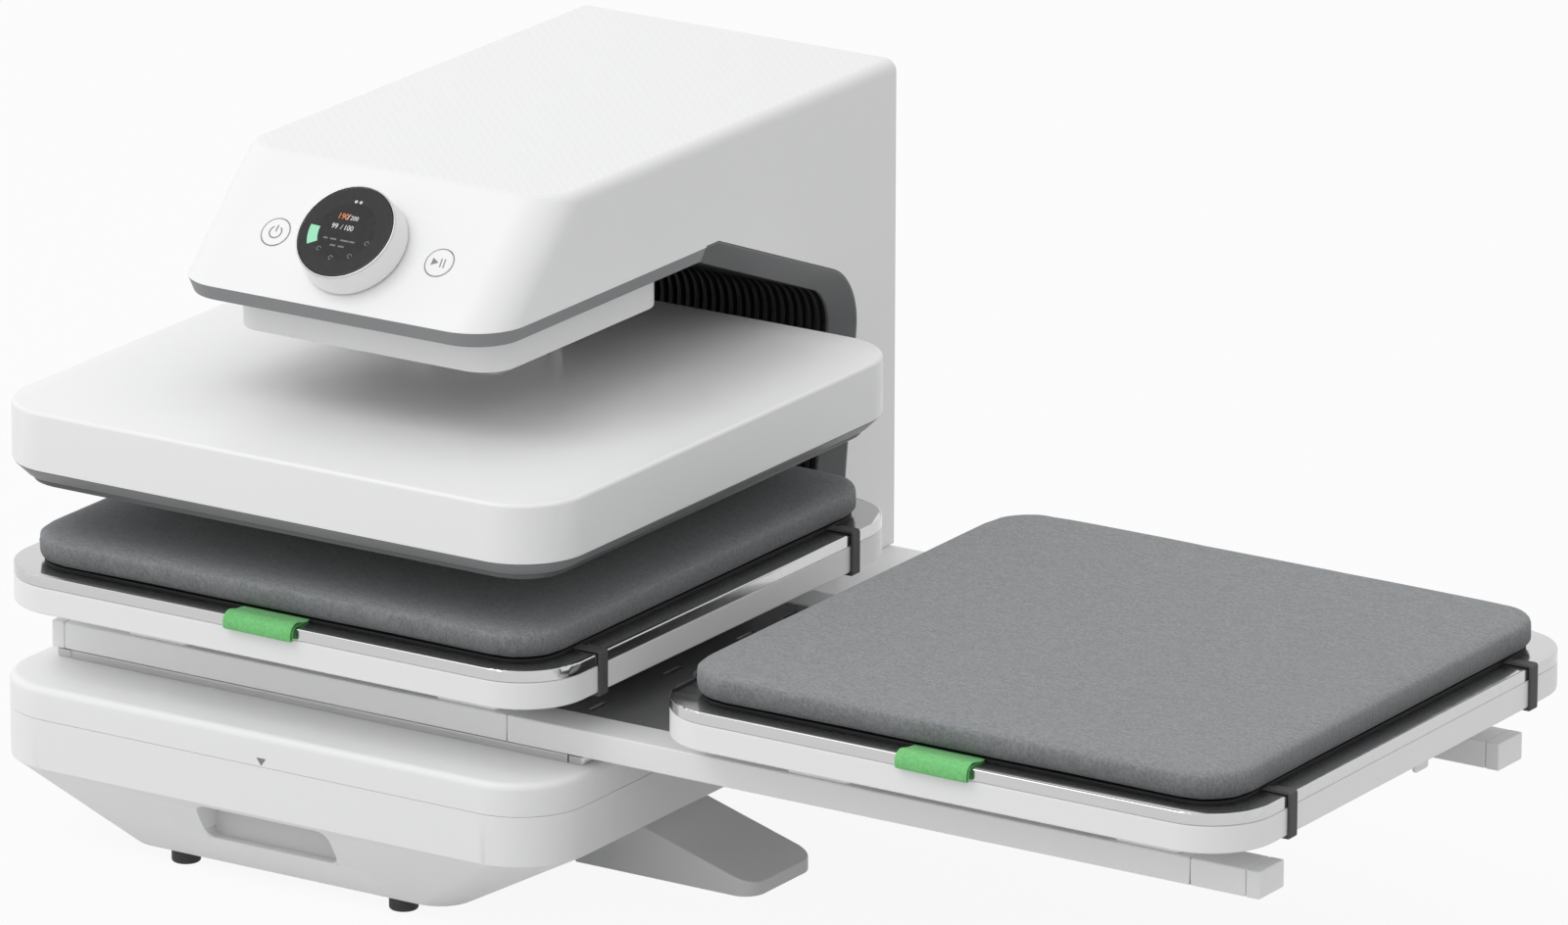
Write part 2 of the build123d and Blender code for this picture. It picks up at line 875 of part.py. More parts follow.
def make_throat_panel():
    """Black back panel of the throat with upright ribs that follow its curve."""
    half = arm_half - bezel_depth - 2.0 - fit_gap
    valley = rib_height - bezel_face
    plate = throat_prism(valley + ribbed_plate, -half, half)
    plate -= throat_prism(valley, -half - 1, half + 1)
    start_z = throat_points(valley)[3][1]
    plate += block((-half, half), (throat_front - ribbed_plate, throat_front), (start_z, floor_top))
    count = int((2 * half - rib_width) / rib_pitch)
    first = -rib_pitch * (count - 1) / 2
    rib = throat_prism(valley + 0.5, -rib_width / 2, rib_width / 2)
    rib -= throat_prism(-bezel_face, -rib_width, rib_width)
    for index in range(count):
        plate += Pos(first + index * rib_pitch, 0, 0) * rib
    return plate


def make_rear_cover():
    """Back plate of the column, with air slots and an opening for the inlet."""
    half = arm_half - housing_wall - fit_gap
    low = base_top + fit_gap
    high = arm_top - housing_wall - fit_gap
    front = column_back - rear_cover_thickness
    plate = block((-half, half), (front, column_back), (low, high))
    plate = fillet(plate.edges().filter_by(Axis.Y).group_by(Axis.Z)[-1], top_round - housing_wall)
    for index in range(vent_count):
        height = vent_middle + (index - (vent_count - 1) / 2) * vent_pitch
        slot = (height - vent_slot / 2, height + vent_slot / 2)
        plate -= block((-vent_width / 2, vent_width / 2), (front - 1, column_back + 1), slot)
    plate -= block(
        (-inlet_width / 2 - fit_gap, inlet_width / 2 + fit_gap),
        (front - 1, column_back + 1),
        (inlet_height - inlet_tall / 2 - fit_gap, inlet_height + inlet_tall / 2 + fit_gap),
    )
    for x, z in rear_screw_places():
        plate -= Pos(x, column_back, z) * Rot(90, 0, 0) * Cylinder(screw_bore + 0.2, 20.0)
    return plate


def make_rear_screws():
    """Pan-head screws of the rear cover."""
    screws = []
    for x, z in rear_screw_places():
        head = Pos(x, column_back + screw_head_height / 2, z) * Rot(90, 0, 0) * Cylinder(
            screw_head, screw_head_height
        )
        shank = Pos(x, column_back - screw_length / 2, z) * Rot(90, 0, 0) * Cylinder(
            screw_bore - 0.2, screw_length
        )
        screws.append(head + shank)
    return group(screws)


save(make_housing(), "housing_shell")
save(make_trim(), "arm_trim")
save(make_arm_floor(), "arm_floor")
save(group([make_bezel(1), make_bezel(-1)]), "throat_bezels")
save(make_throat_panel(), "throat_panel")
save(make_rear_cover(), "rear_cover")
save(make_rear_screws(), "rear_screws")


def make_frame_side(side):
    """Steel plate that runs from the base up the column and out along the arm."""
    floor = frame_floor + floor_plate
    points = [
        (frame_front, arm_bar_bottom),
        (frame_front, arm_bar_top),
        (column_bar_back, arm_bar_top),
        (column_bar_back, taper_top + 12.0),
        (frame_heel_back, taper_top),
        (frame_heel_back, floor),
        (frame_heel_front, floor),
        (frame_heel_front, taper_top),
        (column_bar_front, base_top - 12.0),
        (column_bar_front, arm_bar_bottom),
    ]
    left = side * frame_place if side > 0 else -frame_place - frame_plate
    plate = side_prism(points, left, left + frame_plate)
    spread = frame_clearance
    plate -= throat_prism(spread, left - 1, left + frame_plate + 1)
    notch_top = throat_points(spread)[3][1]
    notch = (throat_front - ribbed_plate - 1.5, throat_front + 1)
    return plate - block((left - 1, left + frame_plate + 1), notch, (arm_bar_bottom - 1, notch_top))


def make_frame_floor():
    """Steel plate in the bottom of the base, with the frame's cross tie."""
    half = base_width / 2 - frame_inset
    plate = block((-half, half), (floor_front, frame_heel_back), (frame_floor, frame_floor + floor_plate))
    return fillet(plate.edges().filter_by(Axis.Z), 12.0)


def make_bridge():
    """Cross plate between the arm's two frame plates: it carries screw and motor."""
    half = frame_place - 0.1
    top = bridge_bottom + bridge_height
    y_range = (motor_place - motor_radius, ram_middle + bridge_reach)
    bridge = block((-half, half), y_range, (bridge_bottom, top))
    bridge -= rod(0, ram_middle, bridge_bottom - 1, top + 1, screw_radius + bore_gap)
    return bridge - rod(0, motor_place, bridge_bottom - 1, top + 1, motor_shaft + bore_gap)


def make_collar():
    """White skirt below the arm, round the ram and the rods."""
    collar = slab(collar_width, collar_depth, collar_corner, collar_bottom, floor_bottom)
    hollow = slab(
        collar_width - 2 * collar_wall,
        collar_depth - 2 * collar_wall,
        collar_corner - collar_wall,
        collar_bottom - 1,
        floor_bottom + 1,
    )
    return collar - hollow


def make_bushes():
    """Flanged bushes for the two guide rods."""
    bushes = []
    for side in (-1, 1):
        high = floor_top + bush_height
        bush = rod(side * rod_x, rod_y, floor_top, high, bush_radius)
        bushes.append(bush - rod(side * rod_x, rod_y, floor_top - 1, high + 1, rod_radius + bore_gap))
    return group(bushes)


def make_motor():
    """Drive motor that hangs below the bridge."""
    low = bridge_bottom - motor_height
    motor = rod(0, motor_place, low, bridge_bottom, motor_radius)
    motor = fillet(motor.edges().group_by(Axis.Z)[0], 2.0)
    motor -= rod(0, motor_place, bridge_bottom - 6.0, bridge_bottom + 1, motor_shaft + bore_gap)
    return motor


pulley_bottom = bridge_bottom + bridge_height + 0.5
belt_middle = pulley_bottom + pulley_height / 2


def make_pulley(radius, place):
    """Belt pulley with two flanges."""
    pulley = rod(0, place, pulley_bottom, pulley_bottom + pulley_height, radius)
    for low in (pulley_bottom, pulley_bottom + pulley_height - pulley_flange):
        pulley += rod(0, place, low, low + pulley_flange, radius + belt_thickness + 0.6)
    return pulley


def make_motor_pulley():
    """Motor shaft with its pulley."""
    shaft = rod(0, motor_place, bridge_bottom - 5.5, pulley_bottom + pulley_height, motor_shaft)
    return make_pulley(motor_pulley_radius, motor_place) + shaft


def make_screw():
    """Lead screw with its pulley and its thrust collar."""
    screw = rod(0, ram_middle, screw_bottom, screw_top, screw_radius)
    screw += make_pulley(pulley_radius, ram_middle)
    return screw + rod(0, ram_middle, bridge_bottom - 4.0, bridge_bottom - 0.3, screw_radius + 4.0)


def make_belt():
    """Belt round both pulleys."""
    span = ram_middle - motor_place
    lean = math.asin((pulley_radius - motor_pulley_radius) / span)
    outlines = []
    for extra in (belt_gap + belt_thickness, belt_gap):
        large = pulley_radius + extra
        small = motor_pulley_radius + extra
        shape = Circle(large) + Pos(0, -span) * Circle(small)
        corners = [
            (large * math.cos(lean), -large * math.sin(lean)),
            (small * math.cos(lean), -span - small * math.sin(lean)),
            (-small * math.cos(lean), -span - small * math.sin(lean)),
            (-large * math.cos(lean), -large * math.sin(lean)),
        ]
        outlines.append(shape + make_face(Polyline(*corners, close=True)))
    belt = outlines[0] - outlines[1]
    return extrude(Pos(0, ram_middle, belt_middle - belt_width / 2) * belt, belt_width)


def make_ram():
    """Square tube that carries the platen, closed on top by the nut plate."""
    low = bracket_bottom + bracket_thickness
    middle = (0, ram_middle)
    ram = slab(ram_width, ram_depth, 5.0, low, ram_top, middle)
    width = ram_width - 2 * ram_wall
    depth = ram_depth - 2 * ram_wall
    ram -= slab(width, depth, 2.0, low - 1, ram_top - ram_plate, middle)
    return ram - rod(0, ram_middle, low, ram_top + 1, nut_radius)


def make_nut():
    """Bronze nut with a flange below the ram's top plate."""
    low = ram_top - ram_plate
    nut = rod(0, ram_middle, low, ram_top, nut_radius)
    nut += rod(0, ram_middle, low - nut_flange, low, nut_radius + 6.0)
    return nut - rod(0, ram_middle, low - nut_flange - 1, ram_top + 1, screw_radius + bore_gap)


def make_rods():
    """Two hardened rods that guide the platen."""
    rods = []
    for side in (-1, 1):
        rods.append(rod(side * rod_x, rod_y, bracket_bottom + bracket_thickness, rod_top, rod_radius))
    return group(rods)


def make_bracket():
    """Steel plate over the heater, on four posts that pass the insulation."""
    bracket = slab(bracket_size, bracket_size, 8.0, bracket_bottom, bracket_bottom + bracket_thickness)
    for x_side in (-1, 1):
        for y_side in (-1, 1):
            bracket += rod(x_side * post_x, y_side * post_y, heater_top, bracket_bottom + 1, post_radius)
    return bracket


def make_platen_cover():
    """White cover of the platen with openings for the ram and the rods."""
    cover = slab(plate_width, plate_depth, plate_corner, cover_bottom, cover_top)
    cover = fillet(cover.edges().group_by(Axis.Z)[-1], cover_round)
    cover -= slab(
        plate_width - 2 * cover_wall,
        plate_depth - 2 * cover_wall,
        plate_corner - cover_wall,
        cover_bottom - 1,
        cover_top - cover_wall,
    )
    return open_for_ram(cover, 0.5, cover_top - 10, cover_top + 1)


def make_platen_rim():
    """Dark chamfered ring under the platen's cover."""
    top = cover_bottom - fit_gap
    outlines = []
    for height, inset in ((rim_bottom, rim_inset), (top, 0.4)):
        outline = RectangleRounded(plate_width - 2 * inset, plate_depth - 2 * inset, plate_corner - inset)
        outlines.append(Pos(0, 0, height) * outline)
    ring = loft(outlines)
    hole = slab(
        plate_width - 2 * rim_width,
        plate_depth - 2 * rim_width,
        plate_corner - rim_width,
        rim_bottom - 1,
        top + 1,
    )
    return ring - hole


def make_heater():
    """Flat aluminium heating plate."""
    width = plate_width - 2 * heater_inset
    depth = plate_depth - 2 * heater_inset
    plate = slab(width, depth, heater_corner, heater_bottom, heater_top)
    return fillet(plate.edges().group_by(Axis.Z)[0], 0.8)


def make_element():
    """Flat heating element that runs to and fro on the heater."""
    turn = element_span / (element_rows - 1) / 2
    top = heater_top + element_height
    element = None
    for row in range(element_rows):
        y = (row - (element_rows - 1) / 2) * 2 * turn
        y_range = (y - element_width / 2, y + element_width / 2)
        piece = block((-element_half, element_half), y_range, (heater_top, top))
        element = piece if element is None else element + piece
        if row < element_rows - 1:
            side = 1 if row % 2 == 0 else -1
            ring = rod(side * element_half, y + turn, heater_top, top, turn + element_width / 2)
            ring -= rod(side * element_half, y + turn, heater_top - 1, top + 1, turn - element_width / 2)
            x_range = sorted((side * element_half, side * (element_half + 2 * turn)))
            element += ring & block(x_range, (y - turn, y + 3 * turn), (heater_top, top))
    return element


def make_insulation():
    """Insulation board on the heating element."""
    low = heater_top + element_height
    board = slab(
        plate_width - 2 * insulation_inset,
        plate_depth - 2 * insulation_inset,
        heater_corner,
        low,
        low + insulation_thickness,
    )
    for x_side in (-1, 1):
        for y_side in (-1, 1):
            hole = post_radius + fit_gap
            board -= rod(x_side * post_x, y_side * post_y, low - 1, low + insulation_thickness + 1, hole)
    return board


save(group([make_frame_side(1), make_frame_side(-1)]), "frame_sides")
save(make_frame_floor(), "frame_floor")
save(make_bridge(), "frame_bridge")
save(make_collar(), "ram_collar")
save(make_bushes(), "guide_bushes")
save(make_motor(), "drive_motor")
save(make_motor_pulley(), "motor_pulley")
save(make_screw(), "lead_screw")
save(make_belt(), "drive_belt")
save(make_ram(), "ram")
save(make_nut(), "screw_nut")
save(make_rods(), "guide_rods")
save(make_bracket(), "platen_bracket")
save(make_platen_cover(), "platen_cover")
save(make_platen_rim(), "platen_rim")
save(make_heater(), "heating_plate")
save(make_element(), "heating_element")
save(make_insulation(), "insulation_board")


def turned(points):
    """A turned piece from (radius, height) points, standing on the slanted panel."""
    face = Plane.XZ * make_face(Polyline(*points, close=True))
    return panel * revolve(face, Axis.Z)


def make_dial_ring():
    """White ring that turns round the display."""
    top = dial_height - trim_ring_height
    points = [
        (dial_bore, dial_gap),
        (dial_foot_radius, dial_gap),
        (dial_foot_radius, dial_gap + 1.0),
        (dial_top_radius, top),
        (glass_radius + 0.4, top),
        (glass_radius + 0.4, glass_seat - 0.3),
        (dial_bore, glass_seat - 0.3),
    ]
    return turned(points)


def make_dial_trim():
    """Bright ring on the dial's front edge."""
    low = dial_height - trim_ring_height
    points = [
        (glass_radius + 0.4, low),
        (dial_top_radius, low),
        (dial_top_radius - 0.5, dial_height),
        (glass_radius + 0.4, dial_height),
    ]
    return turned(points)


def make_display_housing():
    """Round housing of the display, with a flange behind the panel."""
    points = [
        (0.0, -display_back),
        (display_radius + 2.5, -display_back),
        (display_radius + 2.5, -display_back + 3.0),
        (display_radius, -display_back + 3.0),
        (display_radius, glass_seat),
        (0.0, glass_seat),
    ]
    return turned(points)


def make_glass():
    """Round front glass of the display."""
    top = glass_seat + glass_thickness
    points = [
        (0.0, glass_seat),
        (glass_radius, glass_seat),
        (glass_radius, top - 0.5),
        (glass_radius - 0.5, top),
        (0.0, top),
    ]
    return turned(points)


def make_button(side):
    """Flush round button with its stem and flange."""
    points = [
        (0.0, button_proud),
        (button_radius - 0.4, button_proud),
        (button_radius, button_proud - 0.4),
        (button_radius, -flange_drop),
        (button_radius + 1.8, -flange_drop),
        (button_radius + 1.8, -flange_drop - 1.2),
        (button_stem, -flange_drop - 1.2),
        (button_stem, -button_back),
        (0.0, -button_back),
    ]
    face = Plane.XZ * make_face(Polyline(*points, close=True))
    return panel * Pos(side * button_place, 0, 0) * revolve(face, Axis.Z)


def make_control_board():
    """Circuit board behind the panel, with two switches and four posts."""
    board = Pos(0, 0, -board_drop - board_thickness / 2) * Box(board_width, board_depth, board_thickness)
    for side in (-1, 1):
        top = -button_back - switch_gap
        height = board_drop + top
        board += Pos(side * button_place, 0, -board_drop + height / 2) * Box(6.0, 6.0, height)
        for row in (-1, 1):
            post_height = board_drop - housing_wall - fit_gap
            place = (side * board_post_x, row * board_post_y, -board_drop + post_height / 2)
            board += Pos(*place) * Cylinder(3.0, post_height)
    return panel * board


def make_fan_frame():
    """Square frame of the cooling fan with its motor seat and four spokes."""
    back = column_back - rear_cover_thickness - fit_gap
    front = back - fan_depth
    half = fan_size / 2
    frame = block((-half, half), (front, back), (fan_middle - half, fan_middle + half))
    frame = fillet(frame.edges().filter_by(Axis.Y), 4.0)
    frame -= Pos(0, (front + back) / 2, fan_middle) * Rot(90, 0, 0) * Cylinder(fan_bore, fan_depth + 2)
    seat = Pos(0, back - 1.5, fan_middle) * Rot(90, 0, 0) * Cylinder(fan_hub, 3.0)
    spoke = Box(2 * fan_bore + 2, 2.5, 3.0)
    for turn in (45, 135):
        seat += Pos(0, back - 1.25, fan_middle) * Rot(0, turn, 0) * spoke
    return frame + seat


def make_fan_rotor():
    """Fan wheel: a hub with pitched blades."""
    back = column_back - rear_cover_thickness - fit_gap - 3.0 - 0.5
    front = back - fan_depth + 4.5
    middle = (front + back) / 2
    rotor = Pos(0, middle, fan_middle) * Rot(90, 0, 0) * Cylinder(fan_hub, back - front)
    length = fan_blade_radius - fan_hub + 2.0
    blade = Pos(0, 0, fan_hub - 2.0 + length / 2) * Rot(0, 0, 38) * Box(1.4, 11.0, length)
    for index in range(fan_blades):
        turn = index * 360.0 / fan_blades
        rotor += Pos(0, middle, fan_middle) * Rot(0, turn, 0) * blade
    return rotor


def make_inlet():
    """Power inlet with its switch frame, set in the rear cover."""
    front = column_back - inlet_depth
    z_range = (inlet_height - inlet_tall / 2, inlet_height + inlet_tall / 2)
    inlet = block((-inlet_width / 2, inlet_width / 2), (front, column_back), z_range)
    flange = block(
        (-inlet_width / 2 - 3.0, inlet_width / 2 + 3.0),
        (column_back, column_back + inlet_flange),
        (z_range[0] - 3.0, z_range[1] + 3.0),
    )
    inlet += fillet(flange.edges().filter_by(Axis.Y), 3.0)
    socket = block(
        (-inlet_width / 2 + 3.0, socket_end),
        (front + 3.0, column_back + 5),
        (z_range[0] + 4.5, z_range[1] - 4.5),
    )
    inlet -= fillet(socket.edges().filter_by(Axis.Y), 2.5)
    for x, z in ((-7.0, 0.0), (0.0, 3.5), (7.0, 0.0)):
        pin_x = (-inlet_width / 2 + 3.0 + socket_end) / 2 + x
        inlet += block(
            (pin_x - 1.0, pin_x + 1.0),
            (front + 2.5, column_back - 3.0),
            (inlet_height + z - 3.0, inlet_height + z + 1.0),
        )
    well = block(
        (rocker_place - rocker_width / 2 - 0.5, rocker_place + rocker_width / 2 + 0.5),
        (column_back - rocker_depth, column_back + 5),
        (inlet_height - rocker_length / 2 - 1.5, inlet_height + rocker_length / 2 + 1.5),
    )
    return inlet - well


def make_rocker():
    """Rocker of the mains switch, tilted to its off side."""
    half = rocker_length / 2
    pivot_y = column_back - rocker_pivot
    points = [
        (-3.0, -half + 3.0),
        (-3.0, half - 3.0),
        (2.4, half),
        (5.4, half - 0.6),
        (3.6, 0.0),
        (5.4, -half + 0.6),
        (2.4, -half),
    ]
    tilted = []
    tilt = math.radians(rocker_tilt)
    for y, z in points:
        tilted.append(
            (
                pivot_y + y * math.cos(tilt) - z * math.sin(tilt),
                inlet_height + y * math.sin(tilt) + z * math.cos(tilt),
            )
        )
    return side_prism(tilted, rocker_place - rocker_width / 2, rocker_place + rocker_width / 2)


def make_power_supply():
    """Closed power supply on the frame's floor."""
    low = frame_floor + floor_plate
    x_range = (-supply_width / 2, supply_width / 2)
    box = block(x_range, (supply_front, supply_back), (low, low + supply_height))
    return fillet(box.edges().filter_by(Axis.Z), 2.0)


save(make_dial_ring(), "dial_ring")
save(make_dial_trim(), "dial_trim")
save(make_display_housing(), "display_housing")
save(make_glass(), "display_glass")
save(make_button(-1), "power_button")
save(make_button(1), "start_button")
save(make_control_board(), "control_board")
save(make_fan_frame(), "fan_frame")
save(make_fan_rotor(), "fan_rotor")
save(make_inlet(), "power_inlet")
save(make_rocker(), "rocker_switch")
save(make_power_supply(), "power_supply")
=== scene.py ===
import json
import math

import bmesh
import bpy
from mathutils import Matrix, Vector


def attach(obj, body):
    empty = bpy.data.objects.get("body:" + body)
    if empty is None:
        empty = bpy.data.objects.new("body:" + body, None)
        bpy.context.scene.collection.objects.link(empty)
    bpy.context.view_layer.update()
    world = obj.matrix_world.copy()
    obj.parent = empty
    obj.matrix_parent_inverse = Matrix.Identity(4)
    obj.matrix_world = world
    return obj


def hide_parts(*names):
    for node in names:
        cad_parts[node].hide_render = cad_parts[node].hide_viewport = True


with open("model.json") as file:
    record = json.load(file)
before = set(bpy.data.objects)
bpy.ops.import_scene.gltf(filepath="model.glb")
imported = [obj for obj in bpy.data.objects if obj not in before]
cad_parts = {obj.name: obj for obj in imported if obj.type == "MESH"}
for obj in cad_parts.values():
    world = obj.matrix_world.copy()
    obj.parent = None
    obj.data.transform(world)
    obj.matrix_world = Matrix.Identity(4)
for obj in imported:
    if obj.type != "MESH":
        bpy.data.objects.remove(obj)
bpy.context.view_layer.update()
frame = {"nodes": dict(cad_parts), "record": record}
print("frame loaded:", len(frame["nodes"]), "nodes")


# materials: a socket that takes part in sums, and one maker for every other node


class Wire:
    def __init__(self, paint, socket):
        self.paint = paint
        self.socket = socket

    def sum(self, operation, left, right):
        return self.paint.add("Math", {"operation": operation}, {0: left, 1: right})

    def __add__(self, other):
        return self.sum("ADD", self, other)

    def __radd__(self, other):
        return self.sum("ADD", other, self)

    def __sub__(self, other):
        return self.sum("SUBTRACT", self, other)

    def __rsub__(self, other):
        return self.sum("SUBTRACT", other, self)

    def __mul__(self, other):
        return self.sum("MULTIPLY", self, other)

    def __rmul__(self, other):
        return self.sum("MULTIPLY", other, self)

    def __truediv__(self, other):
        return self.sum("DIVIDE", self, other)

    def __rtruediv__(self, other):
        return self.sum("DIVIDE", other, self)


class Board:
    def __init__(self, tree):
        self.tree = tree
        self.tree.nodes.clear()

    def add(self, kind, settings, sockets, out=0):
        node = self.tree.nodes.new("ShaderNode" + kind)
        for key, value in settings.items():
            if key == "stops":
                ramp = node.color_ramp.elements
                while len(ramp) < len(value):
                    ramp.new(0.5)
                for stop, (at, tone) in zip(ramp, value):
                    stop.position = at
                    stop.color = tone
            else:
                setattr(node, key, value)
        for key, value in sockets.items():
            self.plug(node.inputs[key], value)
        return None if out is None else Wire(self, node.outputs[out])

    def plug(self, socket, value):
        if isinstance(value, Wire):
            self.tree.links.new(value.socket, socket)
        else:
            socket.default_value = value

    def seenByEye(self):
        # 1 for camera, mirror and glass rays, which see the plain white behind the object
        kinds = ("Camera", "Glossy", "Transmission")
        rays = [self.add("LightPath", {}, {}, "Is %s Ray" % kind) for kind in kinds]
        either = self.add("Math", {"operation": "MAXIMUM"}, {0: rays[0], 1: rays[1]})
        return self.add("Math", {"operation": "MAXIMUM"}, {0: either, 1: rays[2]})


class Paint(Board):
    def __init__(self, name):
        self.material = bpy.data.materials.new(name)
        self.material.use_nodes = True
        super().__init__(self.material.node_tree)
        self.shader = self.tree.nodes.new("ShaderNodeBsdfPrincipled")
        self.output = self.tree.nodes.new("ShaderNodeOutputMaterial")
        self.tree.links.new(self.shader.outputs[0], self.output.inputs[0])
        self.place = self.add("TexCoord", {}, {}, "Object")

    def surface(self, **sockets):
        for key, value in sockets.items():
            self.plug(self.shader.inputs[key.replace("_", " ")], value)

    def axis(self, name):
        return self.add("SeparateXYZ", {}, {0: self.place}, name)

    def noise(self, scale, detail=2.0, rough=0.5, stretch=None):
        spot = self.place
        if stretch:
            spot = self.add("Mapping", {}, {"Vector": self.place, "Scale": stretch})
        sockets = {"Vector": spot, "Scale": scale, "Detail": detail, "Roughness": rough}
        return self.add("TexNoise", {}, sockets, "Fac")

    def spread(self, value, low, high, start=0.0, end=1.0):
        sockets = {0: value, 1: start, 2: end, 3: low, 4: high}
        return self.add("MapRange", {"clamp": True}, sockets)

    def blendColour(self, share, first, second):
        sockets = {0: share, 6: first, 7: second}
        return self.add("Mix", {"data_type": "RGBA"}, sockets, 2)

    def bump(self, height, strength, distance):
        sockets = {"Height": height, "Strength": strength, "Distance": distance}
        self.surface(Normal=self.add("Bump", {}, sockets))


def grey(tone, warm=0.0):
    return (tone + warm, tone, tone - warm, 1.0)


def single(paint, operation, value):
    return paint.add("Math", {"operation": operation}, {0: value})


def above(paint, value, limit):
    return paint.add("Math", {"operation": "GREATER_THAN"}, {0: value, 1: limit})


coatLook = {
    "tone": 0.85, "change": 0.012, "metal_gloss": 0.36, "shell_gloss": 0.42, "grain": 700.0, "depth": 0.00004,
}


def paintCoat(name, tone, gloss, weave=False, shadeRecess=False):
    paint = Paint(name)
    clouds = paint.noise(9.0, 3.0)
    shade = paint.spread(clouds, -coatLook["change"], coatLook["change"], 0.3, 0.7)
    tint = paint.blendColour(shade + 0.5, grey(tone * 0.975, -0.002), grey(tone * 1.02, -0.002))
    grain = paint.noise(coatLook["grain"], 2.0)
    height = grain
    if weave:
        dashes, zone = armWeave(paint)
        tint = paint.blendColour(dashes * zone * weaveLook["contrast"], tint, grey(tone * 0.8))
        height = grain + dashes * zone * 2.0
    # painted shade: the coat inside the hull's front hand grip is darkened towards the back of the recess
    if shadeRecess:
        tint = paint.blendColour(paintedRecessShade(paint), tint, grey(tone * recessShadeLook["tone"]))
    rub = paint.noise(60.0, 4.0, 0.6)
    paint.surface(Base_Color=tint, Roughness=paint.spread(rub, gloss - 0.05, gloss + 0.05, 0.3, 0.7))
    paint.surface(Specular_IOR_Level=0.45)
    paint.bump(height, 0.35, coatLook["depth"])
    return paint.material


weaveLook = {
    "pitch": 0.0056, "width": 0.17, "reach": 0.38, "contrast": 0.16, "from_y": -0.07, "from_z": 0.4205,
}


def dash(paint, across, along):
    return (1 - above(paint, across, weaveLook["width"])) * (1 - above(paint, along, weaveLook["reach"]))


def armWeave(paint):
    # short dashes in two directions, like a basket weave, on the arm's top behind the panel
    x, y, z = paint.axis("X"), paint.axis("Y"), paint.axis("Z")
    slant = weaveLook["pitch"] * math.sqrt(2)
    rows = ((x + y) / slant, (x - y) / slant)
    one, two = [single(paint, "ABSOLUTE", single(paint, "FRACT", row) - 0.5) for row in rows]
    cells = single(paint, "FLOOR", rows[0]) + single(paint, "FLOOR", rows[1])
    odd = above(paint, single(paint, "ABSOLUTE", single(paint, "FRACT", cells * 0.5)), 0.25)
    dashes = dash(paint, one, two) * odd + dash(paint, two, one) * (1 - odd)
    zone = above(paint, y, weaveLook["from_y"]) * above(paint, z, weaveLook["from_z"])
    return dashes, zone


# how dark the painted shade in the hull's hand grip is, and the box it fills
recessShadeLook = {
    "tone": 0.66, "half": 0.0482, "from_y": -0.1995, "to_y": -0.176, "from_z": 0.0270, "to_z": 0.0528,
}


def paintedRecessShade(paint):
    # painted shade: rises to 1 with the way into the hull's front hand grip, darkening the coat there as if
    # shaded
    x, y, z = paint.axis("X"), paint.axis("Y"), paint.axis("Z")
    inside = above(paint, recessShadeLook["half"] - single(paint, "ABSOLUTE", x), 0.0)
    inside = inside * above(paint, z, recessShadeLook["from_z"]) * (1 - above(paint, z, recessShadeLook["to_z"]))
    inside = inside * (1 - above(paint, y, 0.0))
    return inside * paint.spread(y, 0.0, 1.0, recessShadeLook["from_y"], recessShadeLook["to_y"])


def paintMetal(name, tone, gloss, stretch, metallic=1.0, scratch=0.06):
    paint = Paint(name)
    lines = paint.noise(30.0, 6.0, 0.65, stretch)
    tint = paint.blendColour(lines, grey(tone * 0.93), grey(tone * 1.05))
    paint.surface(Base_Color=tint, Metallic=metallic)
    paint.surface(Roughness=paint.spread(lines, gloss - scratch, gloss + scratch, 0.25, 0.75))
    paint.bump(lines, 0.12, 0.00002)
    return paint.material


def paintMoulded(name, colour, gloss, grain=1400.0, depth=0.00006, sheen=0.5):
    paint = Paint(name)
    fine = paint.noise(grain, 3.0)
    clouds = paint.noise(14.0, 3.0)
    darker = tuple(c * 0.9 for c in colour[:3]) + (1.0,)
    lighter = tuple(c * 1.1 for c in colour[:3]) + (1.0,)
    paint.surface(Base_Color=paint.blendColour(clouds, darker, lighter))
    paint.surface(Roughness=paint.spread(clouds, gloss - 0.06, gloss + 0.06, 0.3, 0.7))
    paint.surface(Specular_IOR_Level=sheen)
    paint.bump(fine, 0.5, depth)
    return paint.material


# foot, rim and side give the painted shade down the pad's sides
padLook = {"light": 0.335, "dark": 0.21, "thread": 0.0011, "foot": 0.1800, "rim": 0.1950, "side": 0.42}


def paintHeather():
    # two greys of yarn in a fine plain weave, with painted shade that darkens the sides towards the foot
    paint = Paint("padHeather")
    x, y, z = paint.axis("X"), paint.axis("Y"), paint.axis("Z")
    turn = 2 * math.pi / padLook["thread"]
    warp, weft, tall = [single(paint, "SINE", way * turn) for way in (x, y, z)]
    yarn = paint.noise(620.0, 3.0, 0.6)
    streaks = paint.noise(160.0, 3.0, 0.6, (1.0, 5.0, 1.0))
    mixed = paint.spread(yarn * 0.65 + streaks * 0.35, 0.0, 1.0, 0.36, 0.64)
    tint = paint.blendColour(mixed, grey(padLook["dark"], -0.008), grey(padLook["light"], -0.012))
    # painted shade: the colour is multiplied down to the side share between the rim and the foot
    height = paint.spread(z, padLook["side"], 1.0, padLook["foot"], padLook["rim"])
    paintedShadeMix = {"data_type": "RGBA", "blend_type": "MULTIPLY"}
    tint = paint.add("Mix", paintedShadeMix, {0: 1.0, 6: tint, 7: height}, 2)
    paint.surface(Base_Color=tint, Roughness=paint.spread(yarn, 0.82, 0.95, 0.3, 0.7))
    paint.surface(Specular_IOR_Level=0.25, Sheen_Weight=0.12, Sheen_Roughness=0.5)
    paint.bump(warp * weft + tall * 0.4 + yarn * 2.0, 0.45, 0.00022)
    return paint.material


tagLook = {
    "light": (0.235, 0.66, 0.25, 1.0), "dark": (0.14, 0.50, 0.15, 1.0), "thread": 0.0009,
}


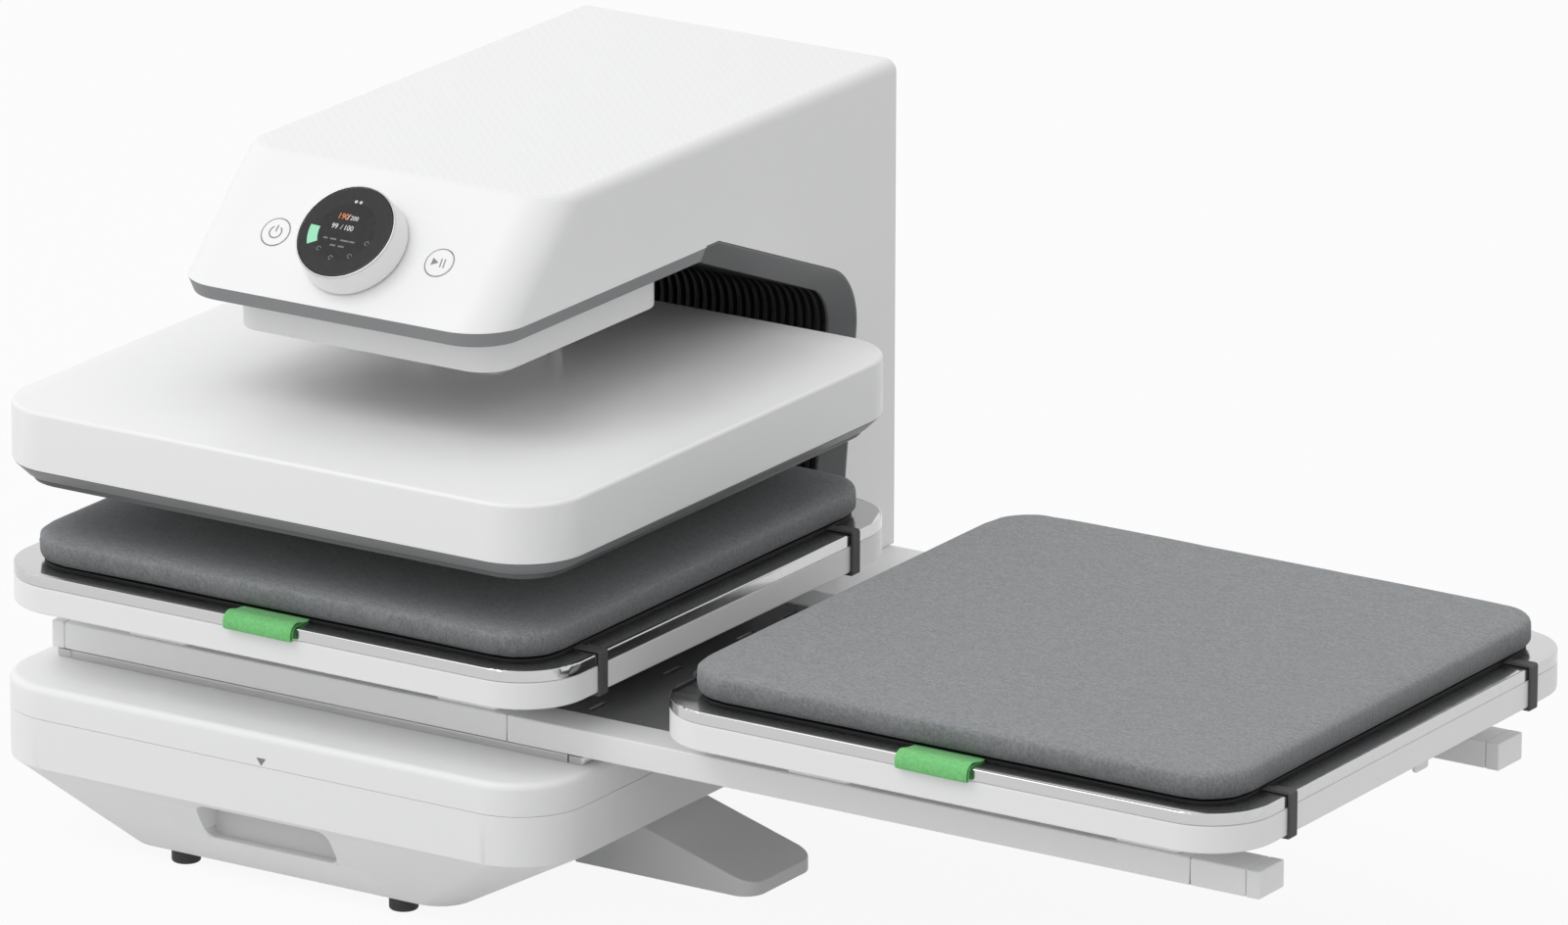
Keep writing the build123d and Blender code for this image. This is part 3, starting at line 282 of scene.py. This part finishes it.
def paintTag():
    paint = Paint("tagCloth")
    x, y, z = paint.axis("X"), paint.axis("Y"), paint.axis("Z")
    turn = 2 * math.pi / tagLook["thread"]
    across, along = single(paint, "SINE", x * turn), single(paint, "SINE", (z - y) * turn)
    mottle = paint.noise(500.0, 2.0)
    share = paint.spread(across * along * 0.25 + mottle, 0.0, 1.0, 0.2, 0.8)
    paint.surface(Base_Color=paint.blendColour(share, tagLook["dark"], tagLook["light"]))
    paint.surface(Roughness=paint.spread(mottle, 0.7, 0.85, 0.3, 0.7), Specular_IOR_Level=0.3)
    paint.surface(Sheen_Weight=0.15)
    paint.bump(across * along, 0.5, 0.00018)
    return paint.material


strapLook = {"light": 0.105, "dark": 0.060, "rib": 0.0013}


def paintElastic():
    # fine cross ribs of a woven elastic, whichever way the strap runs
    paint = Paint("strapElastic")
    y, z, x = paint.axis("Y"), paint.axis("Z"), paint.axis("X")
    turn = 2 * math.pi / strapLook["rib"]
    ribs, cords = single(paint, "SINE", (z + x) * turn), single(paint, "SINE", y * (turn * 0.8))
    mottle = paint.noise(800.0, 2.0)
    share = paint.spread(ribs * 0.3 + mottle, 0.0, 1.0, 0.2, 0.8)
    paint.surface(Base_Color=paint.blendColour(share, grey(strapLook["dark"]), grey(strapLook["light"])))
    paint.surface(Roughness=paint.spread(mottle, 0.62, 0.78, 0.3, 0.7), Specular_IOR_Level=0.35)
    paint.bump(ribs + cords * 0.6, 0.5, 0.00018)
    return paint.material


glassLook = {"inner": 0.006, "outer": 0.013, "from": 0.0268, "to": 0.0274}
panelSpec = {"turn": 44.0, "middle": (0.0, -0.0975, 0.38341), "glass": 0.0179}


def paintGlass():
    # black glass whose printed outer band is a touch lighter than the disc inside it
    paint = Paint("screenGlass")
    back = tuple(-c for c in panelSpec["middle"])
    shifted = paint.add("Mapping", {}, {"Vector": paint.place, "Location": back})
    apart = paint.add("VectorMath", {"operation": "LENGTH"}, {0: shifted}, "Value")
    band = paint.spread(apart, 0.0, 1.0, glassLook["from"], glassLook["to"])
    dust = paint.noise(240.0, 3.0)
    tint = paint.blendColour(band, grey(glassLook["inner"]), grey(glassLook["outer"]))
    paint.surface(Base_Color=tint, Roughness=paint.spread(dust, 0.10, 0.16, 0.3, 0.7))
    paint.surface(Specular_IOR_Level=0.45, Coat_Roughness=0.06)
    return paint.material


def paintGlow(name, colour, strength):
    paint = Paint(name)
    grain = paint.noise(900.0, 2.0)
    dim = tuple(c * 0.9 for c in colour[:3]) + (1.0,)
    tint = paint.blendColour(grain, dim, colour)
    paint.surface(Base_Color=tint, Emission_Color=tint, Roughness=paint.spread(grain, 0.35, 0.5))
    paint.surface(Emission_Strength=strength)
    return paint.material


looks = {
    "white_metal": paintCoat("whiteCoat", coatLook["tone"], coatLook["metal_gloss"]),
    # whiteShell carries the arm's weave and the painted shade in the hand grip
    "white_plastic": paintCoat("whiteShell", coatLook["tone"], coatLook["shell_gloss"], True, True),
    "silver": paintMetal("deckSilver", 0.60, 0.15, (0.3, 6.0, 6.0)),
    "pad_fabric": paintHeather(),
    "black_board": paintMoulded("boardBlack", (0.012, 0.012, 0.013, 1.0), 0.7),
    "green_tag": paintTag(),
    "dark_rubber": paintElastic(),
    "black_rubber": paintMoulded("footRubber", (0.028, 0.028, 0.029, 1.0), 0.65),
    "plain_steel": paintMetal("plainSteel", 0.60, 0.34, (4.0, 0.4, 4.0)),
    "polished_steel": paintMetal("groundSteel", 0.72, 0.16, (6.0, 6.0, 0.3)),
    "dark_metal": paintMoulded("darkPaint", (0.15, 0.152, 0.155, 1.0), 0.42, 900.0, 0.00004),
    "dark_plastic": paintMoulded("trimPlastic", (0.24, 0.245, 0.25, 1.0), 0.5),
    "black_plastic": paintMoulded("ribPlastic", (0.018, 0.018, 0.019, 1.0), 0.48),
    "bronze": paintMetal("turnedBronze", 0.5, 0.3, (3.0, 3.0, 0.5)),
    "coated_plate": paintMoulded("platenCoat", (0.10, 0.10, 0.105, 1.0), 0.4),
    "insulation": paintMoulded("pressedFibre", (0.62, 0.57, 0.48, 1.0), 0.92, 260.0, 0.0004, 0.2),
    "screen_glass": paintGlass(),
    "green_board": paintMoulded("lacqueredBoard", (0.02, 0.17, 0.06, 1.0), 0.3),
}
slotOf = {part["node"]: part["material_slot"] for part in frame["record"]["subparts"]}
for nodeName, node in frame["nodes"].items():
    node.data.materials.clear()
    node.data.materials.append(looks[slotOf[nodeName]])
ownLooks = {"throatFrames": paintMoulded("frameGraphite", (0.135, 0.138, 0.142, 1.0), 0.42)}
print("materials made:", len(bpy.data.materials))


# pieces


def place(name, mesh, body, slot, material=None):
    piece = bpy.data.objects.new(name, mesh)
    bpy.context.scene.collection.objects.link(piece)
    mesh.materials.clear()
    mesh.materials.append(material or looks[slot])
    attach(piece, body)
    return piece


def smoothen(mesh, angle=35.0):
    for face in mesh.polygons:
        face.use_smooth = True
    mesh.set_sharp_from_angle(angle=math.radians(angle))


def toMesh(shape, name):
    mesh = bpy.data.meshes.new(name)
    shape.to_mesh(mesh)
    shape.free()
    return mesh


def evaluated(piece):
    graph = bpy.context.evaluated_depsgraph_get()
    return bpy.data.meshes.new_from_object(piece.evaluated_get(graph), depsgraph=graph)


# rigid shells: the CAD form with its loose triangles joined, its edges softened and its curves shaded smooth

softEdges = {
    "housingShell": ("housing_shell", 0.0009, 3),
    "armTrim": ("arm_trim", 0.0006, 2),
    "throatFrames": ("throat_bezels", 0.0004, 2),
    "throatRibs": ("throat_panel", 0.0005, 2),
    "backCover": ("rear_cover", 0.0005, 2),
    "coverScrews": ("rear_screws", 0.0002, 2),
    "collarSkirt": ("ram_collar", 0.0008, 2),
    "platenCover": ("platen_cover", 0.0006, 2),
    "platenRim": ("platen_rim", 0.0006, 2),
    "heatPlate": ("heating_plate", 0.0008, 2),
    "baseCover": ("base_cover", 0.0007, 2),
    "baseHull": ("base_hull", 0.0012, 3),
    "rubberFeet": ("rubber_feet", 0.0006, 2),
    "sideFootRight": ("outrigger_right", 0.0009, 3),
    "sideFootLeft": ("outrigger_left", 0.0009, 3),
    "guideRails": ("guide_rails", 0.0004, 2),
    "keyedTrack": ("centre_track", 0.0004, 2),
    "keyedRunner": ("tray_runner", 0.0004, 2),
    "innerBars": ("beam_bars", 0.0005, 2),
    "beamSleeves": ("beam_sleeves", 0.0011, 3),
    "beamCaps": ("beam_end_caps", 0.0009, 3),
    "slotTray": ("shuttle_tray", 0.0003, 2),
    "stationBlocks": ("station_feet", 0.0006, 2),
    "panLeft": ("station_pan_a", 0.0011, 3),
    "panRight": ("station_pan_b", 0.0011, 3),
    "deckLeft": ("station_deck_a", 0.0007, 3),
    "deckRight": ("station_deck_b", 0.0007, 3),
    "padBoards": ("pad_boards", 0.0003, 2),
    "padStraps": ("pad_straps", 0.0005, 2),
    "dialRing": ("dial_ring", 0.0005, 3),
    "dialEdge": ("dial_trim", 0.0003, 2),
    "displayGlass": ("display_glass", 0.0003, 2),
    "powerButton": ("power_button", 0.0003, 2),
    "startButton": ("start_button", 0.0003, 2),
    "inletShell": ("power_inlet", 0.0004, 2),
    "rockerKey": ("rocker_switch", 0.0004, 2),
    "fanFrame": ("fan_frame", 0.0004, 2),
}
bodyOf = {node: body for body, nodes in frame["record"]["behaviour"]["bodies"].items() for node in nodes}
softened = {}
for pieceName, (nodeName, radius, steps) in softEdges.items():
    shape = bmesh.new()
    shape.from_mesh(frame["nodes"][nodeName].data)
    bmesh.ops.remove_doubles(shape, verts=shape.verts, dist=0.000004)
    bmesh.ops.dissolve_limit(shape, angle_limit=math.radians(0.4), verts=shape.verts, edges=shape.edges)
    mesh = toMesh(shape, pieceName)
    smoothen(mesh)
    piece = place(pieceName, mesh, bodyOf[nodeName], slotOf[nodeName], ownLooks.get(pieceName))
    rounding = piece.modifiers.new("edges", "BEVEL")
    rounding.width = radius
    rounding.segments = steps
    rounding.limit_method = "ANGLE"
    rounding.angle_limit = math.radians(35)
    rounding.harden_normals = True
    rounding.use_clamp_overlap = True
    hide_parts(nodeName)
    softened[pieceName] = piece
print("rigid shells softened:", len(softened))


# pads: a foam mat in a cloth cover, blown up a little by a cloth simulation

padSpec = {
    "size": 0.381, "corner": 0.033, "bottom": 0.1776, "top": 0.1963, "edge": 0.0030, "foot": 0.002,
    "inset": 0.0012, "sink": 0.0010, "voxel": 0.0042, "stiffness": 40, "quality": 4,
    "pressure": 4.0, "frames": 20, "cap": 0.0010, "places": {"A": 0.0, "B": 0.4765},
}


def roundEdges(shape, edges, radius, steps):
    look = {"affect": "EDGES", "offset": radius, "segments": steps, "profile": 0.5, "material": -1}
    bmesh.ops.bevel(shape, geom=edges, **look)


def padForm():
    # a little smaller than the foam, which leaves room for the swelling
    half = padSpec["size"] / 2 - padSpec["inset"]
    low, high = padSpec["bottom"], padSpec["top"] - padSpec["sink"]
    shape = bmesh.new()
    bmesh.ops.create_cube(shape, size=1.0)
    bmesh.ops.scale(shape, vec=(2 * half, 2 * half, high - low), verts=shape.verts)
    bmesh.ops.translate(shape, vec=(0, 0, (high + low) / 2), verts=shape.verts)
    upright = [e for e in shape.edges if abs(e.verts[0].co.z - e.verts[1].co.z) > 0.001]
    roundEdges(shape, upright, padSpec["corner"], 14)
    rims = [e for e in shape.edges if min(v.co.z for v in e.verts) > high - 0.0001]
    roundEdges(shape, rims, padSpec["edge"], 4)
    feet = [e for e in shape.edges if max(v.co.z for v in e.verts) < low + 0.0001]
    roundEdges(shape, feet, padSpec["foot"], 2)
    bmesh.ops.recalc_face_normals(shape, faces=shape.faces)
    return toMesh(shape, "padForm")


def blowUp(mesh):
    foam = bpy.data.objects.new("padFoam", mesh)
    bpy.context.scene.collection.objects.link(foam)
    remesh = foam.modifiers.new("voxels", "REMESH")
    remesh.mode = "VOXEL"
    remesh.voxel_size = padSpec["voxel"]
    started = evaluated(foam)
    foam.modifiers.clear()
    foam.data = started
    before = [v.co.copy() for v in started.vertices]
    cloth = foam.modifiers.new("cover", "CLOTH")
    cloth.settings.quality = padSpec["quality"]
    cloth.settings.tension_stiffness = padSpec["stiffness"]
    cloth.settings.compression_stiffness = padSpec["stiffness"]
    cloth.settings.use_pressure = True
    cloth.settings.uniform_pressure_force = padSpec["pressure"]
    cloth.settings.effector_weights.gravity = 0
    cloth.point_cache.frame_start = 1
    cloth.point_cache.frame_end = padSpec["frames"]
    for step in range(1, padSpec["frames"] + 1):
        bpy.context.scene.frame_set(step)
    swollen = evaluated(foam)
    bpy.context.scene.frame_set(1)
    foam.modifiers.clear()
    foam.data = swollen
    for vertex, start in zip(foam.data.vertices, before):
        move = vertex.co - start
        if move.length > padSpec["cap"]:
            move *= padSpec["cap"] / move.length
        moved = start + move
        moved.z = min(max(moved.z, padSpec["bottom"]), padSpec["top"])
        vertex.co = moved
    finer = foam.modifiers.new("finer", "SUBSURF")
    finer.levels = 1
    finer.render_levels = 1
    mesh = evaluated(foam)
    bpy.data.objects.remove(foam)
    return mesh


padMesh = blowUp(padForm())
for letter, alongX in padSpec["places"].items():
    mesh = padMesh.copy()
    turn = Matrix.Rotation(math.pi if letter == "B" else 0.0, 4, "Z")
    mesh.transform(Matrix.Translation((alongX, 0, 0)) @ turn)
    for face in mesh.polygons:
        face.use_smooth = True
    pad = place("clothPad" + letter, mesh, "shuttle", "pad_fabric")
    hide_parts("pad_" + letter.lower())
print("pads made")


# cloth tags: one folded strip each, sewn under the pad, that hangs over the deck's front edge

tagSpec = {
    "width": 0.050, "thick": 0.0007, "edge": -0.202, "deck": 0.1758,
    "strips": 10, "hang": 0.008, "wave": 0.00035,
    "upper": [
        (0.0190, 0.00075), (0.0100, 0.0008), (0.0045, 0.0026), (0.0005, 0.0030), (-0.0036, 0.0004),
        (-0.0047, -0.0036), (-0.0040, -0.0078),
    ],
    "lower": [
        (-0.0014, -0.0080), (-0.0012, -0.0040), (-0.0010, 0.0003), (0.0040, 0.0004), (0.0190, 0.0003),
    ],
}


def clothTag(name, alongX):
    shape = bmesh.new()
    line = [(tagSpec["edge"] + y, tagSpec["deck"] + z) for y, z in tagSpec["upper"] + tagSpec["lower"]]
    corners = [shape.verts.new((alongX - tagSpec["width"] / 2, y, z)) for y, z in line]
    edges = [shape.edges.new(pair) for pair in zip(corners, corners[1:])]
    stride = tagSpec["width"] / tagSpec["strips"]
    for step in range(tagSpec["strips"]):
        drawn = bmesh.ops.extrude_edge_only(shape, edges=edges)["geom"]
        fresh = [g for g in drawn if isinstance(g, bmesh.types.BMVert)]
        edges = [g for g in drawn if isinstance(g, bmesh.types.BMEdge) and all(v in fresh for v in g.verts)]
        bmesh.ops.translate(shape, vec=(stride, 0, 0), verts=fresh)
    for vertex in shape.verts:
        hang = max(0.0, tagSpec["deck"] - vertex.co.z) / tagSpec["hang"]
        wave = math.sin((vertex.co.x - alongX) * 90.0 + alongX)
        vertex.co.y -= tagSpec["wave"] * hang * (1 + wave)
    bmesh.ops.recalc_face_normals(shape, faces=shape.faces)
    mesh = toMesh(shape, name)
    for face in mesh.polygons:
        face.use_smooth = True
    tag = place(name, mesh, "shuttle", "green_tag")
    wall = tag.modifiers.new("cloth", "SOLIDIFY")
    wall.thickness = tagSpec["thick"]
    wall.offset = 0
    finer = tag.modifiers.new("finer", "SUBSURF")
    finer.levels = 2
    finer.render_levels = 2
    return tag


tags = [clothTag("clothTag" + letter, alongX) for letter, alongX in padSpec["places"].items()]
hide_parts("pad_tags")
print("tags made")


# the slanted panel: everything drawn on it is laid out flat and then put on the slant

panelTurn = Matrix.Rotation(math.radians(panelSpec["turn"]), 4, "X")
panelFrame = Matrix.Translation(panelSpec["middle"]) @ panelTurn


def onPanel(mesh, height, x=0.0, y=0.0):
    mesh.transform(panelFrame @ Matrix.Translation((x, y, height)))
    return mesh


def flatRing(radius, width, start=0.0, sweep=360.0, thick=0.00008):
    shape = bmesh.new()
    inner = shape.verts.new((radius - width / 2, 0, 0))
    outer = shape.verts.new((radius + width / 2, 0, 0))
    edge = shape.edges.new((inner, outer))
    steps = max(6, int(sweep / 5))
    begin = Matrix.Rotation(math.radians(start), 3, "Z")
    bmesh.ops.rotate(shape, verts=shape.verts, cent=(0, 0, 0), matrix=begin)
    turning = {"cent": (0, 0, 0), "axis": (0, 0, 1), "angle": math.radians(sweep), "steps": steps}
    bmesh.ops.spin(shape, geom=[inner, outer, edge], use_merge=sweep > 359, **turning)
    return thicken(shape, thick)


def thicken(shape, thick):
    bmesh.ops.remove_doubles(shape, verts=shape.verts, dist=0.000001)
    bmesh.ops.recalc_face_normals(shape, faces=shape.faces)
    for face in shape.faces:
        if face.normal.z < 0:
            face.normal_flip()
    drawn = bmesh.ops.extrude_face_region(shape, geom=shape.faces[:])["geom"]
    raised = [g for g in drawn if isinstance(g, bmesh.types.BMVert)]
    bmesh.ops.translate(shape, vec=(0, 0, thick), verts=raised)
    bmesh.ops.recalc_face_normals(shape, faces=shape.faces)
    return toMesh(shape, "mark")


def flatShape(corners, thick=0.00008, lean=0.0):
    shape = bmesh.new()
    shape.faces.new([shape.verts.new((x + lean * y, y, 0)) for x, y in corners])
    return thicken(shape, thick)


def bar(width, length, lean=0.0, turn=0.0):
    half, tall = width / 2, length / 2
    mesh = flatShape([(-half, -tall), (half, -tall), (half, tall), (-half, tall)], lean=lean)
    mesh.transform(Matrix.Rotation(math.radians(turn), 4, "Z"))
    return mesh


def figures(text, size, narrow=0.92, thick=0.00004):
    words = bpy.data.curves.new("figures", "FONT")
    words.body = text
    words.size = size
    words.extrude = thick
    words.align_y = "BOTTOM_BASELINE"
    holder = bpy.data.objects.new("figures", words)
    bpy.context.scene.collection.objects.link(holder)
    bpy.context.view_layer.update()
    mesh = evaluated(holder)
    bpy.data.objects.remove(holder)
    mesh.transform(Matrix.Diagonal((narrow, 1, 1, 1)))
    return mesh


glow = {
    "white": paintGlow("figureWhite", (0.62, 0.62, 0.62, 1.0), 0.35),
    "dim": paintGlow("figureGrey", (0.16, 0.16, 0.16, 1.0), 0.1),
    "orange": paintGlow("figureOrange", (0.72, 0.20, 0.07, 1.0), 0.3),
    "mint": paintGlow("segmentMint", (0.27, 0.66, 0.43, 1.0), 0.18),
    "icon": paintMoulded("iconGrey", (0.22, 0.22, 0.225, 1.0), 0.5),
}


def onGlass(name, mesh, tone, x=0.0, y=0.0):
    return place(name, onPanel(mesh, panelSpec["glass"], x, y), "display", "screen_glass", glow[tone])


displayMarks = {
    "hotFigures": ("190", 0.0056, -0.0100, 0.0081, "orange"),
    "slashFigure": ("/", 0.0056, -0.0029, 0.0081, "white"),
    "goalFigures": ("200", 0.0042, -0.0009, 0.0083, "white"),
    "secondFigures": ("99", 0.0050, -0.0112, 0.0010, "white"),
    "secondSlash": ("/", 0.0050, -0.0046, 0.0010, "white"),
    "secondGoal": ("100", 0.0050, -0.0024, 0.0010, "white"),
}
for name, (text, size, x, y, tone) in displayMarks.items():
    onGlass(name, figures(text, size), tone, x, y)
rowMarks = {
    "rowOne": (-0.0118, -0.0062, 0.0030), "rowTwo": (-0.0070, -0.0062, 0.0044),
    "rowThree": (0.0004, -0.0062, 0.0060), "rowFour": (0.0070, -0.0062, 0.0036),
    "rowFive": (-0.0052, -0.0104, 0.0040), "rowSix": (0.0006, -0.0104, 0.0044),
}
for name, (x, y, length) in rowMarks.items():
    onGlass(name, bar(0.0011, length, turn=90), "dim", x + length / 2 - 0.001, y)
onGlass("timeSegment", flatRing(0.0218, 0.0068, 178, 32), "mint")
for name, x in (("statusLeft", -0.0022), ("statusRight", 0.0012)):
    onGlass(name, flatRing(0.0007, 0.0006), "white", x, 0.0210)
iconReach = 0.0188
for name, turn in (("iconA", -132), ("iconB", -95), ("iconC", -56), ("iconD", -16)):
    spot = Matrix.Rotation(math.radians(turn), 2) @ Vector((iconReach, 0.0))
    onGlass(name, flatRing(0.0013, 0.0005, 0, 300), "dim", *spot)

keySpec = {"place": 0.0596, "proud": 0.0002, "ring": 0.0094}


def onKey(name, mesh, body, x=0.0, y=0.0):
    middle = keySpec["place"] * (-1 if body == "power_key" else 1)
    return place(name, onPanel(mesh, keySpec["proud"], middle + x, y), body, "white_plastic", glow["icon"])


for body in ("power_key", "start_key"):
    onKey(body.replace("_key", "") + "KeyRing", flatRing(keySpec["ring"], 0.0004, thick=0.00005), body)
powerParts = {"powerArc": flatRing(0.0041, 0.0009, 125, 290), "powerStroke": bar(0.0009, 0.0046)}
for name, mesh in powerParts.items():
    onKey(name, mesh, "power_key", 0.0, 0.0026 if name == "powerStroke" else 0.0)
startParts = {
    "startArrow": (flatShape([(-0.0052, -0.0026), (-0.0006, 0.0), (-0.0052, 0.0026)]), 0.0),
    "startBarOne": (bar(0.0008, 0.0060, -0.12), 0.0012),
    "startBarTwo": (bar(0.0008, 0.0060, -0.12), 0.0036),
}
for name, (mesh, x) in startParts.items():
    onKey(name, mesh, "start_key", x)
print("panel marks made")


# the small mark that shows where the shuttle's middle goes, on the front of the base cover

markSpec = {"half": 0.0035, "top": 0.0024, "tip": -0.0023, "place": (0.0029, -0.20702, 0.0889)}
markHalf, markTop = markSpec["half"], markSpec["top"]
markMesh = flatShape([(-markHalf, markTop), (0.0, markSpec["tip"]), (markHalf, markTop)])
markMesh.transform(Matrix.Translation(markSpec["place"]) @ Matrix.Rotation(math.pi / 2, 4, "X"))
place("middleMark", markMesh, "stand", "white_metal", glow["icon"])


# floor, light and camera

stageSpec = {
    "size": 24.0, "floor": 0.64, "glow": 0.92, "fill": 0.80,
    "ways": {"X": -0.20, "Y": -0.10, "Z": 0.10},
}


def paintFloor():
    paint = Paint("floorPaper")
    fibre = paint.noise(3.0, 3.0)
    tone = stageSpec["floor"]
    paint.surface(Base_Color=paint.blendColour(fibre, grey(tone * 0.99), grey(tone)))
    paint.surface(Roughness=0.9, Specular_IOR_Level=0.1)
    shine = paint.add("Emission", {}, {"Color": (1, 1, 1, 1), "Strength": 1.0})
    plain = Wire(paint, paint.shader.outputs[0])
    mixed = paint.add("MixShader", {}, {0: paint.seenByEye() * stageSpec["glow"], 1: plain, 2: shine})
    paint.tree.links.new(mixed.socket, paint.output.inputs[0])
    return paint.material


sheet = bmesh.new()
bmesh.ops.create_grid(sheet, x_segments=1, y_segments=1, size=stageSpec["size"] / 2)
floor = bpy.data.objects.new("paperFloor", toMesh(sheet, "paperFloor"))
floor.data.materials.append(paintFloor())
bpy.context.scene.collection.objects.link(floor)

world = bpy.data.worlds.new("studio")
bpy.context.scene.world = world
world.use_nodes = True
sky = Board(world.node_tree)
ways = sky.add("TexCoord", {}, {}, "Generated")
soft = stageSpec["fill"]
for name, share in stageSpec["ways"].items():
    soft = sky.add("SeparateXYZ", {}, {0: ways}, name) * share + soft
dome = sky.add("Background", {}, {"Color": (1, 1, 1, 1), "Strength": soft})
white = sky.add("Background", {}, {"Color": (1, 1, 1, 1), "Strength": 1.0})
choice = sky.add("MixShader", {}, {0: sky.seenByEye(), 1: dome, 2: white})
sky.add("OutputWorld", {}, {0: choice}, None)

lampSpec = {"at": (-1.6, -2.6, 4.6), "towards": (0.2, 0.0, 0.2), "size": 2.6, "power": 60.0}
lamp = bpy.data.lights.new("keyLamp", "AREA")
lamp.shape = "SQUARE"
lamp.size = lampSpec["size"]
lamp.energy = lampSpec["power"]
holder = bpy.data.objects.new("keyLamp", lamp)
holder.location = lampSpec["at"]
aim = Vector(lampSpec["towards"]) - Vector(lampSpec["at"])
holder.rotation_euler = aim.to_track_quat("-Z", "Y").to_euler()
bpy.context.scene.collection.objects.link(holder)

cameraSpec = {
    "right": (0.8404264401, 0.5419199185, 0.0024901143),
    "up": (-0.1637815058, 0.2496120757, 0.9543947978),
    "back": (0.5165839885, -0.8025064570, 0.2985370484),
    "place": (4.345026694, -6.373701057, 2.635269770),
    "lens": 304.3006,
}
camera = bpy.data.cameras.new("viewCamera")
camera.sensor_fit = "HORIZONTAL"
camera.sensor_width = 36.0
camera.lens = cameraSpec["lens"]
camera.clip_end = 60.0
viewer = bpy.data.objects.new("viewCamera", camera)
turned = Matrix((cameraSpec["right"], cameraSpec["up"], cameraSpec["back"])).transposed().to_4x4()
viewer.matrix_world = Matrix.Translation(cameraSpec["place"]) @ turned
bpy.context.scene.collection.objects.link(viewer)
bpy.context.scene.camera = viewer
bpy.context.scene.view_settings.view_transform = "Standard"
print("stage made")
